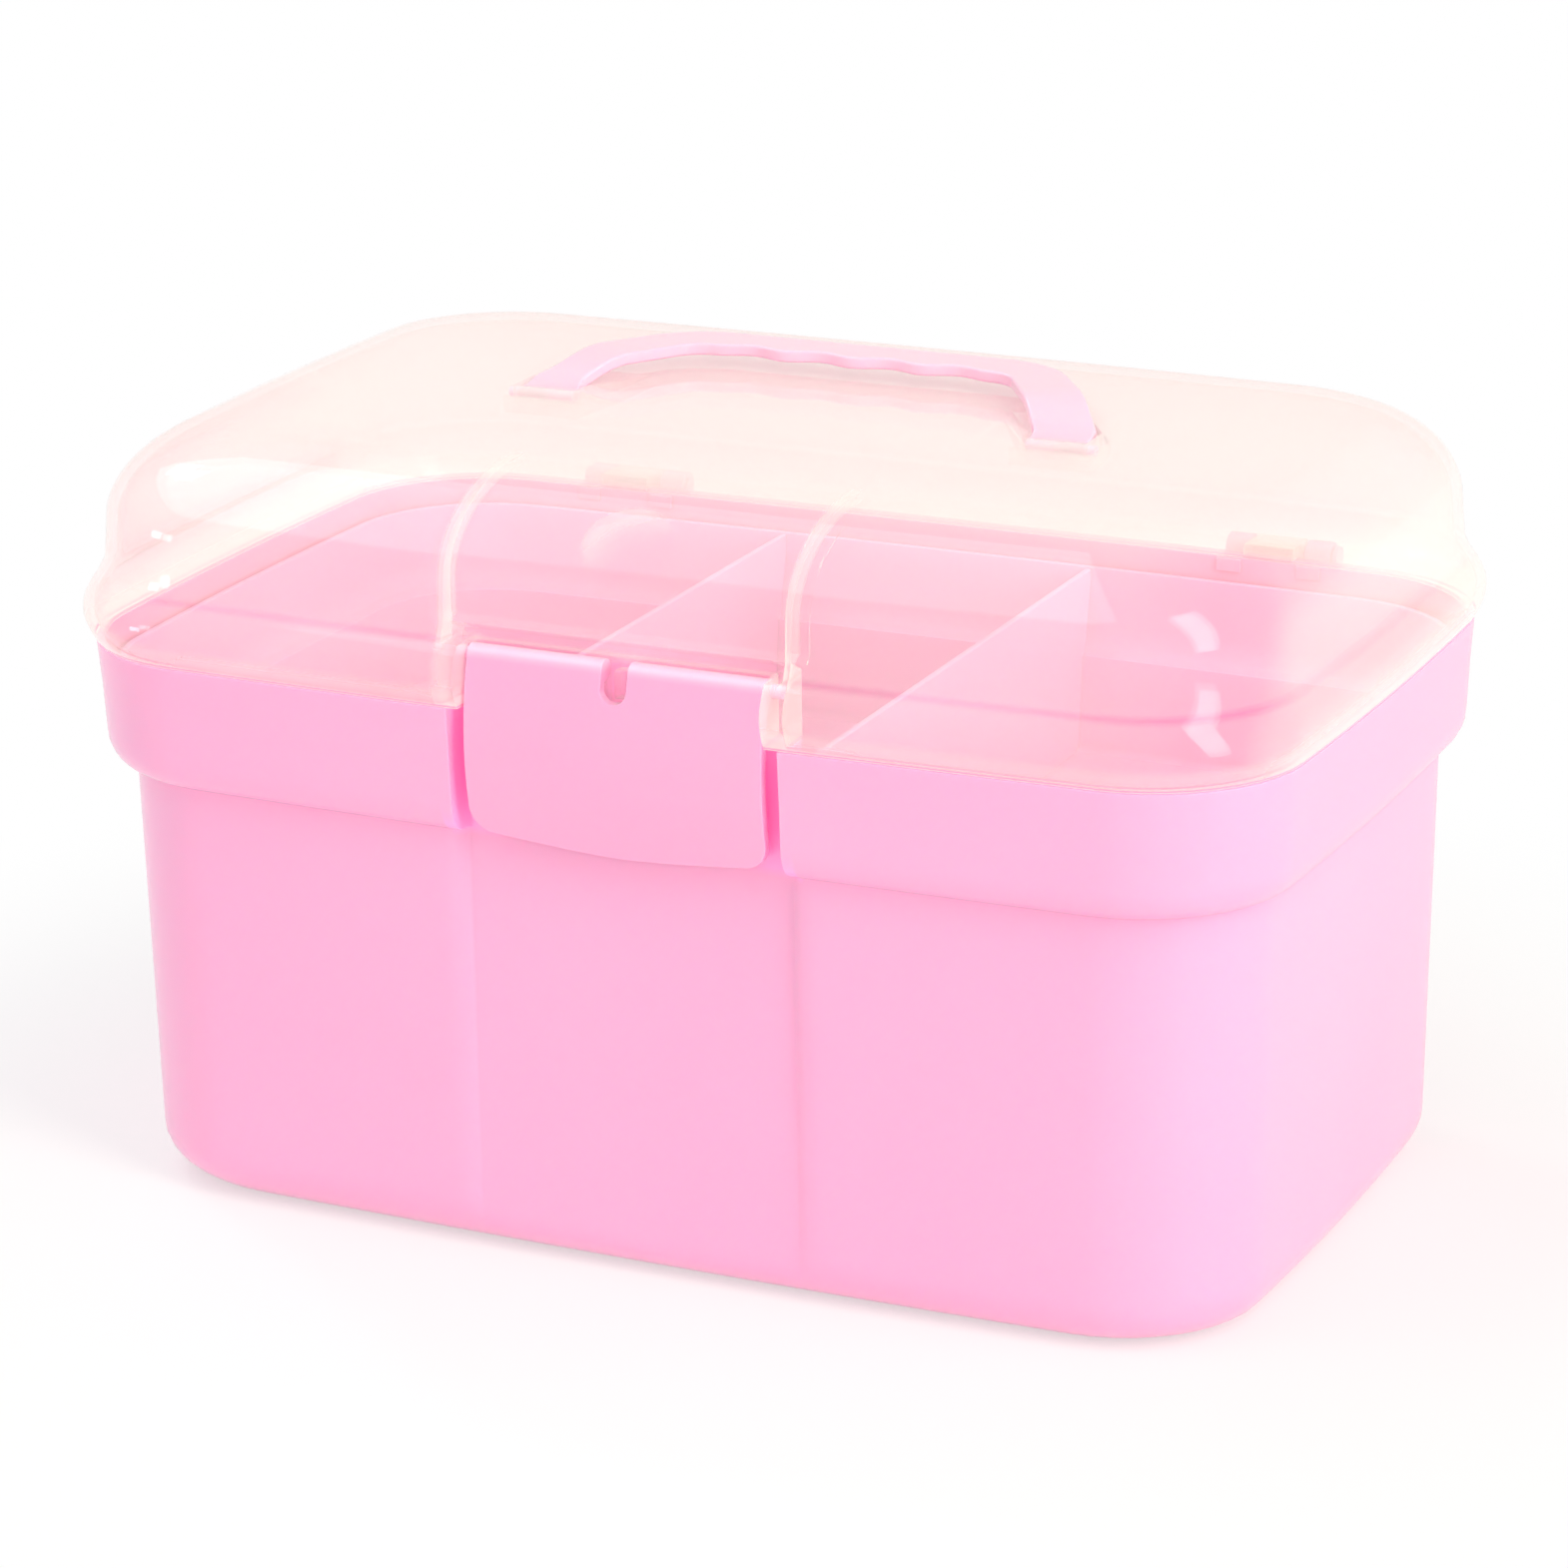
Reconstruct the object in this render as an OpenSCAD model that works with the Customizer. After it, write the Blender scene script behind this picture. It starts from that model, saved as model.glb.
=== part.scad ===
// Grooming box: a moulded tub with a raised rim band, a clear domed lid on two rear hinges,
// a front snap latch, a fold-back carrying handle and a lift-out tray with three compartments.
// X runs along the front, Y to the back, Z up. The origin is under the middle of the tub.

/* [Overall] */
// Width of the box at the seam between tub and lid
seam_width = 320; // [280:1:360]
// Depth of the box at the seam
seam_depth = 195; // [175:1:230]
// Height of the seam above the table
seam_height = 146; // [130:1:180]
// Radius of the upright corners at the seam
seam_corner = 35; // [28:1:42]
// How far the sides swell outward between the corners
side_bow = 3.2; // [1:0.2:5]

/* [Tub] */
// Wall thickness of the tub
tub_wall = 2.2; // [1.6:0.1:2.8]
// Thickness of the tub's floor
floor_thick = 2.6; // [2:0.1:4]
// Rounding of the bottom edge
base_round = 13; // [8:0.5:16]
// How far the wall leans in from the band down to the base
wall_taper = 1.6; // [0.5:0.1:4]
// Height of the rim band
band_height = 33; // [28:0.5:40]
// How far the rim band stands out from the wall
band_step = 6.9; // [5:0.1:9]
// Height of the rounding under the rim band
band_round = 9; // [5:0.5:12]
// How far the band leans in towards its foot
band_lean = 1.2; // [0.4:0.1:2]
// Width of the sunk front panel
panel_width = 94; // [92:0.5:104]
// Depth of the sunk front panel
panel_recess = 3.2; // [2:0.1:4]
// Width of the sloped step at each side of the panel
panel_bevel = 3.5; // [2:0.1:5]

/* [Lid] */
// Height of the lid above the seam
lid_height = 53; // [49:0.5:65]
// Wall thickness of the lid
lid_wall = 2.2; // [1.6:0.1:2.6]
// Height of the bulging lip, from the seam to the crease
lip_height = 17; // [14:0.5:19]
// How far the lip bulges out
lip_bulge = 2.9; // [1:0.1:4]
// Height of the hollow between the crease and the upright dome wall
crease_height = 4; // [2:0.5:6]
// How far the dome wall stands in from the seam
dome_inset = 3.2; // [2:0.1:5]
// Height of the rounded shoulder
shoulder_height = 22; // [18:0.5:26]
// Depth of the shoulder at the front
shoulder_front = 36; // [28:0.5:42]
// Depth of the shoulder at the two ends
shoulder_side = 24; // [18:0.5:32]
// Depth of the shoulder at the back
shoulder_back = 15; // [12:0.5:24]
// Width of the sunk middle panel of the dome
dome_panel_width = 90; // [88:0.5:100]
// Depth of the sunk middle panel of the dome
dome_panel_recess = 2.6; // [1.5:0.1:3.5]
// Diameter of the round thumb dimple in the dome panel
dimple_diameter = 24; // [16:0.5:26]
// Depth of the thumb dimple
dimple_depth = 0.7; // [0.4:0.1:1]

/* [Latch] */
// Width of the latch
latch_width = 80; // [70:0.5:82]
// Height of the latch plate below its hinge
latch_drop = 44; // [40:0.5:46]
// Thickness of the latch plate
latch_thick = 2.6; // [2:0.1:3]
// How far the latch plate bulges forward
latch_crown = 3; // [2:0.1:4]
// How far the lower edge bows down in the middle
latch_edge_bow = 3; // [1:0.1:5]
// Radius of the rounded lower corners
latch_corner = 6; // [3:0.5:9]
// Radius of the rolled top edge
latch_roll = 2.8; // [2.6:0.1:3.2]
// Height of the latch hinge above the seam
latch_rise = 13; // [12:0.5:14]
// Width of the notch in the top edge
latch_notch = 7; // [5:0.5:10]
// Depth of the notch in the top edge
latch_notch_depth = 10; // [8:0.5:12]

/* [Handle] */
// Width of the handle over its two feet
handle_span = 158; // [140:1:180]
// Width of each leg at its foot
leg_width = 16; // [14:0.5:24]
// Length of the straight grip between the leg lines
grip_length = 96; // [92:1:110]
// Width of the grip
grip_width = 14; // [12:0.5:18]
// Distance from the hinge line to the middle of the grip
handle_reach = 40; // [36:0.5:46]
// Thickness of the handle
handle_thick = 3.2; // [2.4:0.1:5]
// Radius of the bends between grip and legs
grip_bend = 18; // [14:0.5:24]
// Distance from one finger hollow to the next
finger_pitch = 19.4; // [17:0.1:21]
// Depth of the finger hollows
finger_depth = 2.6; // [1:0.1:4]
// Distance of the handle hinge behind the middle of the lid
handle_back = 8; // [0:0.5:14]
// Depth of the handle hinge below the lid's top
handle_sink = 2.4; // [2:0.1:3]
// Gap under the folded grip
grip_gap = 3.4; // [0.2:0.1:5]

/* [Tray] */
// Depth of the tray below the tub's ledge
tray_drop = 26; // [18:0.5:36]
// Height of the tray's rim above the ledge's rounding
tray_rise = 15.8; // [12:0.2:17]
// Wall thickness of the tray
tray_wall = 1.8; // [1.4:0.1:2.2]
// Distance between the two dividers
divider_pitch = 90; // [60:1:94]
// Draft of the tray's sides from rim to floor
tray_taper = 2.5; // [1:0.1:5]

/* [Hinge] */
// Distance between the two rear hinges
hinge_pitch = 190; // [150:1:210]
// Radius of the hinge knuckles
knuckle_radius = 4; // [3.6:0.1:4.6]
// Length of the lid's knuckle
lid_knuckle = 14; // [10:0.5:18]
// Length of each tub knuckle
tub_knuckle = 7; // [5:0.5:10]
// Radius of the hinge pins
pin_radius = 2; // [1.6:0.1:2.2]
// Radius of the pins' heads
pin_head_radius = 3; // [2.6:0.1:3.4]
// Thickness of the pins' heads
pin_head = 1.2; // [1:0.1:2]

/* [Fits] */
// Gap between lid and tub at the seam
seam_gap = 0.4; // [0.3:0.1:0.8]
// Radial clearance of pins and stubs in their bores
running_clearance = 0.06; // [0.04:0.01:0.1]
// Side clearance of moving pieces
side_clearance = 0.6; // [0.5:0.1:0.9]
// Clearance of the tray in the tub
tray_clearance = 0.9; // [0.6:0.1:1.2]
// Lift of the resting tray off the ledge
tray_seat_gap = 0.3; // [0.2:0.1:0.5]

/* [Hidden] */

pink = "#f9aed3";
deep_pink = "#f59cc8";
pale_pink = "#fbc3e0";
clear_cream = [1, 0.95, 0.93, 0.45];

// Steps of the curves
corner_steps = 7;
long_steps = 6;
short_steps = 4;
round_steps = 5;
lip_steps = 6;
shoulder_steps = 8;
section_steps = 16;
bore_fn = 48;
arc_fn = 160;
bend_steps = 8;
leg_steps = 5;
finger_steps = 8;
finger_count = 4;
grip_steps = 13;

// One overrun for every cut
overrun = 20;
// Depth by which joined solids run into each other
weld = 0.5;

// Levels and planes that several pieces share
band_foot = seam_height - band_height;
lid_foot = seam_height + seam_gap;
lid_top = seam_height + lid_height;
shoulder_foot = lid_top - shoulder_height;
crease = seam_height + lip_height;
crease_share = 0.33;
hollow_share = 0.8;
crease_inset = crease_share * dome_inset;
hollow_inset = hollow_share * dome_inset;
front_y = -seam_depth / 2 - side_bow;
panel_y = front_y + band_step + panel_recess;
ledge_z = band_foot + tub_wall;
tray_rim_z = ledge_z + band_round + tray_rise;
tray_notch_y = panel_y + tub_wall + tray_clearance;

// Latch and its seat
latch_axis_y = panel_y - side_clearance - latch_roll;
latch_axis_z = seam_height + latch_rise;
latch_seat = latch_width / 2 + side_clearance;
latch_seat_top = latch_axis_z + latch_roll + side_clearance;
ear_thick = 5;
stub_radius = 1.8;
stub_length = 3;
stub_end_gap = 0.4;
latch_radius = latch_drop * latch_drop / latch_crown / 8 + latch_crown / 2;
latch_face_y = latch_axis_y - latch_roll;
latch_foot = latch_axis_z - latch_drop;
edge_radius = latch_width * latch_width / latch_edge_bow / 8 + latch_edge_bow / 2;
nib_width = 3;

// Catch ledge on the tub and the hook behind the latch
catch_width = 70;
catch_reach = 3;
catch_thick = 3;
catch_below = 12.5;
catch_z = seam_height - catch_below;
hook_gap = 0.7;
hook_height = 3;
hook_drop = 0.8;

// Handle: hinge line, feet and slots
handle_axis_z = lid_top - handle_sink;
handle_crank = handle_sink + grip_gap + handle_thick / 2;
crank_run = 20;
foot_x = (handle_span - leg_width) / 2;
foot_straight = 6;
leg_start = [foot_x, foot_straight];
grip_x = grip_length / 2;
leg_angle = atan2(handle_reach - foot_straight, grip_x - foot_x);
bend_setback = grip_bend * tan((180 - leg_angle) / 2);
bend_start = [grip_x - bend_setback * cos(leg_angle), handle_reach - bend_setback * sin(leg_angle)];
bend_centre = bend_start + grip_bend * [-sin(leg_angle), cos(leg_angle)];
foot_stub_radius = 1.5;
slot_gap = 0.9;
slot_wall = 2;
slot_flat = 4;

// Hinge line behind the lid's lip
hinge_y = seam_depth / 2 + side_bow + lip_bulge + knuckle_radius;
hinge_z = seam_height + seam_gap / 2;
hinge_length = lid_knuckle + 2 * (tub_knuckle + side_clearance);
web_root_y = seam_depth / 2 - tub_wall / 2;

// One point of a rounded outline, swelled outward between its corners
function swelled(p, half_x, half_y) = [
    p.x + sign(p.x) * side_bow * (1 - pow(p.y / half_y, 2)) * abs(p.x) / half_x,
    p.y + sign(p.y) * side_bow * (1 - pow(p.x / half_x, 2)) * abs(p.y) / half_y
];

// Rounded outline about its own middle, counter-clockwise
function outline(half_x, half_y, r) = [
    for (q = [0:3])
        let (
            sx = (q == 0 || q == 3) ? 1 : -1,
            sy = q < 2 ? 1 : -1,
            c = [sx * (half_x - r), sy * (half_y - r)],
            steps = q % 2 == 0 ? long_steps : short_steps,
            from = c + r * [cos(q * 90 + 90), sin(q * 90 + 90)],
            to = q == 0 ? [r - half_x, half_y]
                : q == 1 ? [-half_x, r - half_y]
                : q == 2 ? [half_x - r, -half_y]
                : [half_x, half_y - r]
        )
        each concat(
            [for (i = [0:corner_steps])
                let (a = q * 90 + 90 * i / corner_steps)
                c + r * [cos(a), sin(a)]],
            [for (i = [1:steps - 1]) from + (to - from) * i / steps]
        )
];

// One ring of a shell: level, and insets from the seam outline at the ends, front and back
function ring(z, side, front, back) =
    let (
        half_x = seam_width / 2 - side,
        half_y = (seam_depth - front - back) / 2,
        mid_y = (front - back) / 2,
        r = seam_corner - min(side, front, back) / 2
    )
    [for (p = outline(half_x, half_y, r))
        let (s = swelled(p, half_x, half_y))
        [s.x, s.y + mid_y, z]];

function even_ring(inset, z) = ring(z, inset, inset, inset);

// Solid skinned over a row of rings, each clockwise as seen along the row
module loft(rings) {
    n = len(rings[0]);
    last = len(rings) - 1;
    polyhedron(
        points = [for (r = rings) each r],
        faces = concat(
            [[for (j = [0:n - 1]) j]],
            [for (k = [0:last - 1], j = [0:n - 1])
                each let (
                    a = k * n + j,
                    b = k * n + (j + 1) % n
                )
                [[a, b + n, b], [a, a + n, b + n]]],
            [[for (j = [n - 1:-1:0]) last * n + j]]
        )
    );
}

// Upright block in front of a plane, used to sink panels into a shell
module front_block(half_width, plane_y, low, high) {
    translate([-half_width, plane_y - seam_depth, low])
        cube([2 * half_width, seam_depth, high - low]);
}

// Solid drawn along X from a section in the YZ plane, centred on X
module along_x(length) {
    rotate([90, 0, 90])
        translate([0, 0, -length / 2])
        linear_extrude(length)
        children();
}

// Round bar along X, from one end to the other
module x_bar(from, to, radius) {
    translate([from, 0, 0])
        rotate([0, 90, 0])
        cylinder(h = to - from, r = radius, $fn = bore_fn);
}

// Tub

// Profile of the tub as insets and levels, with the wall thickness taken off
function tub_rings(off, floor_z) = concat(
    [for (i = [0:round_steps])
        let (a = 90 * i / round_steps, r = base_round - off)
        even_ring(band_step + wall_taper + off + r * (1 - sin(a)), floor_z + r * (1 - cos(a)))],
    [for (i = [0:round_steps])
        let (a = 90 - 90 * i / round_steps)
        even_ring(
            band_lean + off + (band_step - band_lean) * (1 - cos(a)),
            band_foot + off + band_round * (1 - sin(a))
        )],
    [even_ring(off, seam_height + (off > 0 ? overrun : 0))]
);

// Trapezoid column whose sloped sides make the steps of the front panel
module panel_column(grow, plane_y) {
    half = panel_width / 2 + grow;
    slope = panel_bevel / panel_recess;
    depth = band_step + panel_recess + overrun;
    translate([0, 0, -overrun])
        linear_extrude(band_foot + overrun)
        polygon([
            [panel_bevel - half, plane_y],
            [half - panel_bevel, plane_y],
            [half - panel_bevel + slope * depth, plane_y - depth],
            [panel_bevel - half - slope * depth, plane_y - depth]
        ]);
}

module tub_knuckles() {
    for (side = [-1, 1], end = [-1, 1])
        translate([
            side * hinge_pitch / 2 + end * (hinge_length - tub_knuckle) / 2 - tub_knuckle / 2,
            0,
            0
        ])
            difference() {
                union() {
                    translate([0, hinge_y, hinge_z]) x_bar(0, tub_knuckle, knuckle_radius);
                    translate([0, web_root_y, hinge_z - knuckle_radius])
                        cube([
                            tub_knuckle,
                            hinge_y - web_root_y,
                            seam_height - hinge_z + knuckle_radius
                        ]);
                }
                translate([0, hinge_y, hinge_z])
                    x_bar(-weld, tub_knuckle + weld, pin_radius + running_clearance);
            }
}

module tub() {
    color(pink) {
        difference() {
            loft(tub_rings(0, 0));
            panel_column(0, panel_y);
            front_block(latch_seat + ear_thick / 2, panel_y, band_foot - weld, seam_height + overrun);
            difference() {
                loft(tub_rings(tub_wall, floor_thick));
                front_block(
                    panel_width / 2 + tub_wall, panel_y + tub_wall, -overrun, seam_height + 2 * overrun
                );
            }
        }
        translate([-catch_width / 2, panel_y - catch_reach, catch_z])
            cube([catch_width, catch_reach + weld, catch_thick]);
        tub_knuckles();
    }
}

// Lid

// Profile of the lid's shell, with the wall thickness taken off
function lid_rings(off) =
    let (
        low = lid_foot - (off > 0 ? overrun : 0),
        top = lid_top - off,
        rise = shoulder_height - off / 2
    )
    concat(
        off > 0 ? [even_ring(off, low)] : [],
        [for (i = [0:lip_steps])
            let (t = i / lip_steps)
            even_ring(off - lip_bulge * sin(180 * t) + t * crease_inset, lid_foot + t * (crease - lid_foot))],
        [even_ring(off + hollow_inset, crease + crease_height)],
        [for (i = [0:shoulder_steps])
            let (
                a = 90 * i / shoulder_steps,
                share = 1 - cos(a)
            )
            ring(
                top - rise + rise * sin(a),
                dome_inset + off + (shoulder_side - off) * share,
                dome_inset + off + (shoulder_front - off) * share,
                dome_inset + off + (shoulder_back - off) * share
            )]
    );

// Section in front of the dome's sunk middle panel, set back by the given depth
module dome_front_section(back) {
    y0 = front_y + dome_inset + back;
    polygon(concat(
        [
            [front_y - overrun, latch_seat_top],
            [y0, latch_seat_top]
        ],
        [for (i = [0:shoulder_steps])
            let (a = 90 * i / shoulder_steps)
            [y0 + shoulder_front * (1 - cos(a)), shoulder_foot + shoulder_height * sin(a)]],
        [
            [y0 + shoulder_front, lid_top + overrun],
            [front_y - overrun, lid_top + overrun]
        ]
    ));
}

// What is taken off the lid's front: the latch seat and the sunk dome panel
module lid_front_cut(half_grow, back) {
    front_block(
        latch_seat + half_grow, panel_y + back, lid_foot - 2 * overrun, latch_seat_top + back
    );
    along_x(dome_panel_width + 2 * half_grow) dome_front_section(dome_panel_recess + back);
}

// Place of the thumb dimple on the dome panel, at a share of the shoulder's sweep
dimple_share = 0.38;

module thumb_dimple() {
    a = 90 * dimple_share;
    y = front_y + dome_inset + dome_panel_recess + shoulder_front * (1 - cos(a));
    z = shoulder_foot + shoulder_height * sin(a);
    slope = atan2(shoulder_height * cos(a), shoulder_front * sin(a));
    intersection() {
        translate([0, y, z])
            rotate([slope, 0, 0])
            cylinder(h = dimple_diameter, d = dimple_diameter, center = true, $fn = bore_fn);
        along_x(dome_panel_width) dome_front_section(dome_panel_recess + dimple_depth);
    }
}

// Plan of one leg's slot in the lid's top
module leg_slot_plan(grow) {
    half = leg_width / 2 + slot_gap + grow;
    front = -handle_thick / 2 - slot_gap - grow;
    end = crank_run + grow;
    slant = (foot_x - grip_x) / (handle_reach - foot_straight);
    turn = half * (1 / sin(leg_angle) - 1) / slant;
    polygon([
        [foot_x - half, front],
        [foot_x + half, front],
        [foot_x + half, foot_straight + turn],
        [foot_x + half - slant * (end - foot_straight - turn), end],
        [foot_x - half - slant * (end - foot_straight + turn), end],
        [foot_x - half, foot_straight - turn]
    ]);
}

// Section of the slots along Y: a floor that rises with the cranked leg
module leg_slot_section(grow) {
    low = -handle_thick / 2 - slot_gap - grow;
    polygon([
        [-handle_reach, low],
        [slot_flat, low],
        [crank_run, handle_sink - grow],
        [handle_reach, handle_sink - grow],
        [handle_reach, handle_reach],
        [-handle_reach, handle_reach]
    ]);
}

module leg_slots(grow, high) {
    intersection() {
        translate([0, handle_back, 0])
            linear_extrude(high) {
                leg_slot_plan(grow);
                mirror([1, 0]) leg_slot_plan(grow);
            }
        translate([0, handle_back, handle_axis_z]) along_x(seam_width) leg_slot_section(grow);
    }
}

module lid_knuckles() {
    for (side = [-1, 1])
        translate([side * hinge_pitch / 2 - lid_knuckle / 2, 0, 0])
            difference() {
                union() {
                    translate([0, hinge_y, hinge_z]) x_bar(0, lid_knuckle, knuckle_radius);
                    translate([0, web_root_y, lid_foot])
                        cube([lid_knuckle, hinge_y - web_root_y, knuckle_radius]);
                }
                translate([0, hinge_y, hinge_z])
                    x_bar(-weld, lid_knuckle + weld, pin_radius + running_clearance);
            }
}

module lid() {
    color(clear_cream) {
        difference() {
            loft(lid_rings(0));
            lid_front_cut(0, 0);
            thumb_dimple();
            leg_slots(0, lid_top + overrun);
            difference() {
                loft(lid_rings(lid_wall));
                lid_front_cut(ear_thick, lid_wall);
                leg_slots(slot_wall, lid_top + overrun);
            }
            translate([0, latch_axis_y, latch_axis_z])
                x_bar(
                    -latch_seat - stub_length - stub_end_gap,
                    latch_seat + stub_length + stub_end_gap,
                    stub_radius + running_clearance
                );
            translate([0, handle_back, handle_axis_z])
                for (side = [-1, 1])
                    mirror([side < 0 ? 1 : 0, 0, 0])
                    x_bar(
                        handle_span / 2,
                        handle_span / 2 + slot_gap + slot_wall + weld,
                        foot_stub_radius + running_clearance
                    );
        }
        translate([-nib_width / 2, latch_axis_y, latch_axis_z - latch_notch_depth + latch_roll])
            cube([nib_width, panel_y - latch_axis_y + weld, latch_notch_depth - latch_roll]);
        lid_knuckles();
    }
}

// Latch

// Front outline of the latch, with rounded lower corners and a bowed lower edge
module latch_outline() {
    half = latch_width / 2;
    intersection() {
        union() {
            translate([-half, latch_foot + latch_corner])
                square([latch_width, latch_drop + latch_roll - latch_corner]);
            translate([latch_corner - half, latch_foot - latch_edge_bow])
                square([latch_width - 2 * latch_corner, latch_corner + 2 * latch_edge_bow]);
            for (side = [-1, 1])
                translate([side * (half - latch_corner), latch_foot + latch_corner])
                    circle(r = latch_corner, $fn = bore_fn);
        }
        translate([0, latch_foot - latch_edge_bow + edge_radius]) circle(r = edge_radius, $fn = arc_fn);
    }
}

// Side section of the latch plate, an arc that bulges forward
module latch_section() {
    mid_z = latch_axis_z - latch_drop / 2;
    translate([latch_face_y - latch_crown + latch_radius, mid_z])
        intersection() {
            difference() {
                circle(r = latch_radius, $fn = arc_fn);
                circle(r = latch_radius - latch_thick, $fn = arc_fn);
            }
            translate([-latch_radius - latch_crown, -latch_drop / 2 - latch_edge_bow])
                square([2 * latch_crown + latch_thick, latch_drop + latch_edge_bow + latch_roll / 2]);
        }
}

module latch() {
    color(deep_pink) {
        difference() {
            union() {
                intersection() {
                    along_x(latch_width + overrun) latch_section();
                    translate([0, panel_y, 0])
                        rotate([90, 0, 0])
                        linear_extrude(overrun)
                        latch_outline();
                }
                translate([0, latch_axis_y, latch_axis_z]) x_bar(-latch_width / 2, latch_width / 2, latch_roll);
            }
            translate([-latch_notch / 2, latch_face_y - overrun, latch_axis_z - latch_notch_depth + latch_roll])
                cube([latch_notch, 2 * overrun, latch_notch_depth + overrun]);
        }
        translate([-catch_width / 2, latch_face_y - latch_crown / 2, catch_z - hook_drop - hook_height])
            cube([catch_width, panel_y - catch_reach - hook_gap - latch_face_y + latch_crown / 2, hook_height]);
        translate([0, latch_axis_y, latch_axis_z]) {
            x_bar(latch_width / 2 - weld, latch_seat + stub_length, stub_radius);
            x_bar(-latch_seat - stub_length, weld - latch_width / 2, stub_radius);
        }
    }
}

// Handle

// Middle line of the handle's right half, from the foot to the middle of the grip
function half_line() = concat(
    [[foot_x, 0], leg_start],
    [for (i = [1:leg_steps]) leg_start + (bend_start - leg_start) * i / (leg_steps + 1)],
    [for (i = [0:bend_steps])
        let (a = leg_angle + (180 - leg_angle) * i / bend_steps)
        bend_centre + grip_bend * [sin(a), -cos(a)]],
    [for (i = [grip_steps:-1:0]) [i * finger_pitch / finger_steps, handle_reach]]
);

function handle_line() =
    let (half = half_line(), n = len(half))
    concat(half, [for (i = [n - 2:-1:0]) [-half[i].x, half[i].y]]);

// Depth of the finger hollows at a place along the grip
function hollow(p) =
    p.y > handle_reach - weld && abs(p.x) < finger_count * finger_pitch / 2
        ? finger_depth * (1 - cos(360 * p.x / finger_pitch)) / 2
        : 0;

// Width of the bail at a place along its middle line, from foot to grip
function bail_width(p) =
    grip_width + (leg_width - grip_width) * (1 - min(1, p.y / handle_reach));

// Power that flattens the bail's rounded section
flat_share = 0.5;

// Rounded section of the bail across one place of its line, lifted where the legs are cranked
function bail_ring(line, i) =
    let (
        p = line[i],
        last = len(line) - 1,
        run = line[min(i + 1, last)] - line[max(i - 1, 0)],
        dir = (i == 0 || i == last) ? [0, i == 0 ? 1 : -1] : run / norm(run),
        inward = [-dir.y, dir.x],
        half = bail_width(p) / 2,
        half_thick = handle_thick / 2,
        lift = handle_crank * pow(sin(90 * min(1, p.y / crank_run)), 2)
    )
    [for (k = [0:section_steps - 1])
        let (
            a = 360 * k / section_steps,
            u = sign(cos(a)) * pow(abs(cos(a)), flat_share),
            v = sign(sin(a)) * pow(abs(sin(a)), flat_share),
            reach = u > 0 ? (half - hollow(p)) * u : half * u,
            q = p + inward * reach
        )
        [q.x, q.y, lift + half_thick * v]];

module bail() {
    line = handle_line();
    loft([for (i = [0:len(line) - 1]) bail_ring(line, i)]);
}

module handle() {
    color(pale_pink)
        translate([0, handle_back, handle_axis_z]) {
            bail();
            for (side = [0, 1])
                mirror([side, 0, 0]) {
                    x_bar(foot_x - leg_width / 2, foot_x + leg_width / 2, handle_thick / 2);
                    x_bar(foot_x, handle_span / 2 + slot_gap + slot_wall, foot_stub_radius);
                }
        }
}

// Tray

// Profile of the tray: body, rounded flange over the ledge, and rim
function tray_rings(off, floor_z) =
    let (
        out = tub_wall + tray_clearance + off,
        body = band_step + out,
        rise = ledge_z + tray_seat_gap + off
    )
    concat(
        [
            even_ring(body + tray_taper, floor_z),
            even_ring(body, ledge_z + tray_seat_gap)
        ],
        [for (i = [1:round_steps])
            let (a = 90 - 90 * i / round_steps)
            even_ring(band_lean + out + (band_step - band_lean) * (1 - cos(a)), rise + band_round * (1 - sin(a)))],
        [even_ring(band_lean + out, tray_rim_z + (off > 0 ? overrun : 0))]
    );

module tray() {
    floor_z = ledge_z - tray_drop;
    color(pale_pink)
        difference() {
            loft(tray_rings(0, floor_z));
            front_block(panel_width / 2 + tub_wall + tray_clearance, tray_notch_y, -overrun, lid_top);
            difference() {
                loft(tray_rings(tray_wall, floor_z + tray_wall));
                front_block(
                    panel_width / 2 + tub_wall + tray_clearance + tray_wall,
                    tray_notch_y + tray_wall,
                    -overrun,
                    lid_top
                );
                for (side = [-1, 1])
                    translate([side * divider_pitch / 2 - tray_wall / 2, -seam_depth, 0])
                        cube([tray_wall, 2 * seam_depth, tray_rim_z]);
            }
        }
}

// Hinge pins

module hinge_pin(side) {
    color(deep_pink)
        translate([side * hinge_pitch / 2, hinge_y, hinge_z]) {
            x_bar(-hinge_length / 2 - weld, hinge_length / 2 + weld, pin_radius);
            mirror([side < 0 ? 1 : 0, 0, 0])
                x_bar(hinge_length / 2 + weld, hinge_length / 2 + weld + pin_head, pin_head_radius);
        }
}

module hinge_pin_left() {
    hinge_pin(-1);
}

module hinge_pin_right() {
    hinge_pin(1);
}

tub();
lid();
latch();
handle();
tray();
hinge_pin_left();
hinge_pin_right();
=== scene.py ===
"""Looks of the grooming box: smooth moulded shells, latch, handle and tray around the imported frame."""
import math

import bmesh
import bpy
from mathutils import Matrix, Vector


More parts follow.
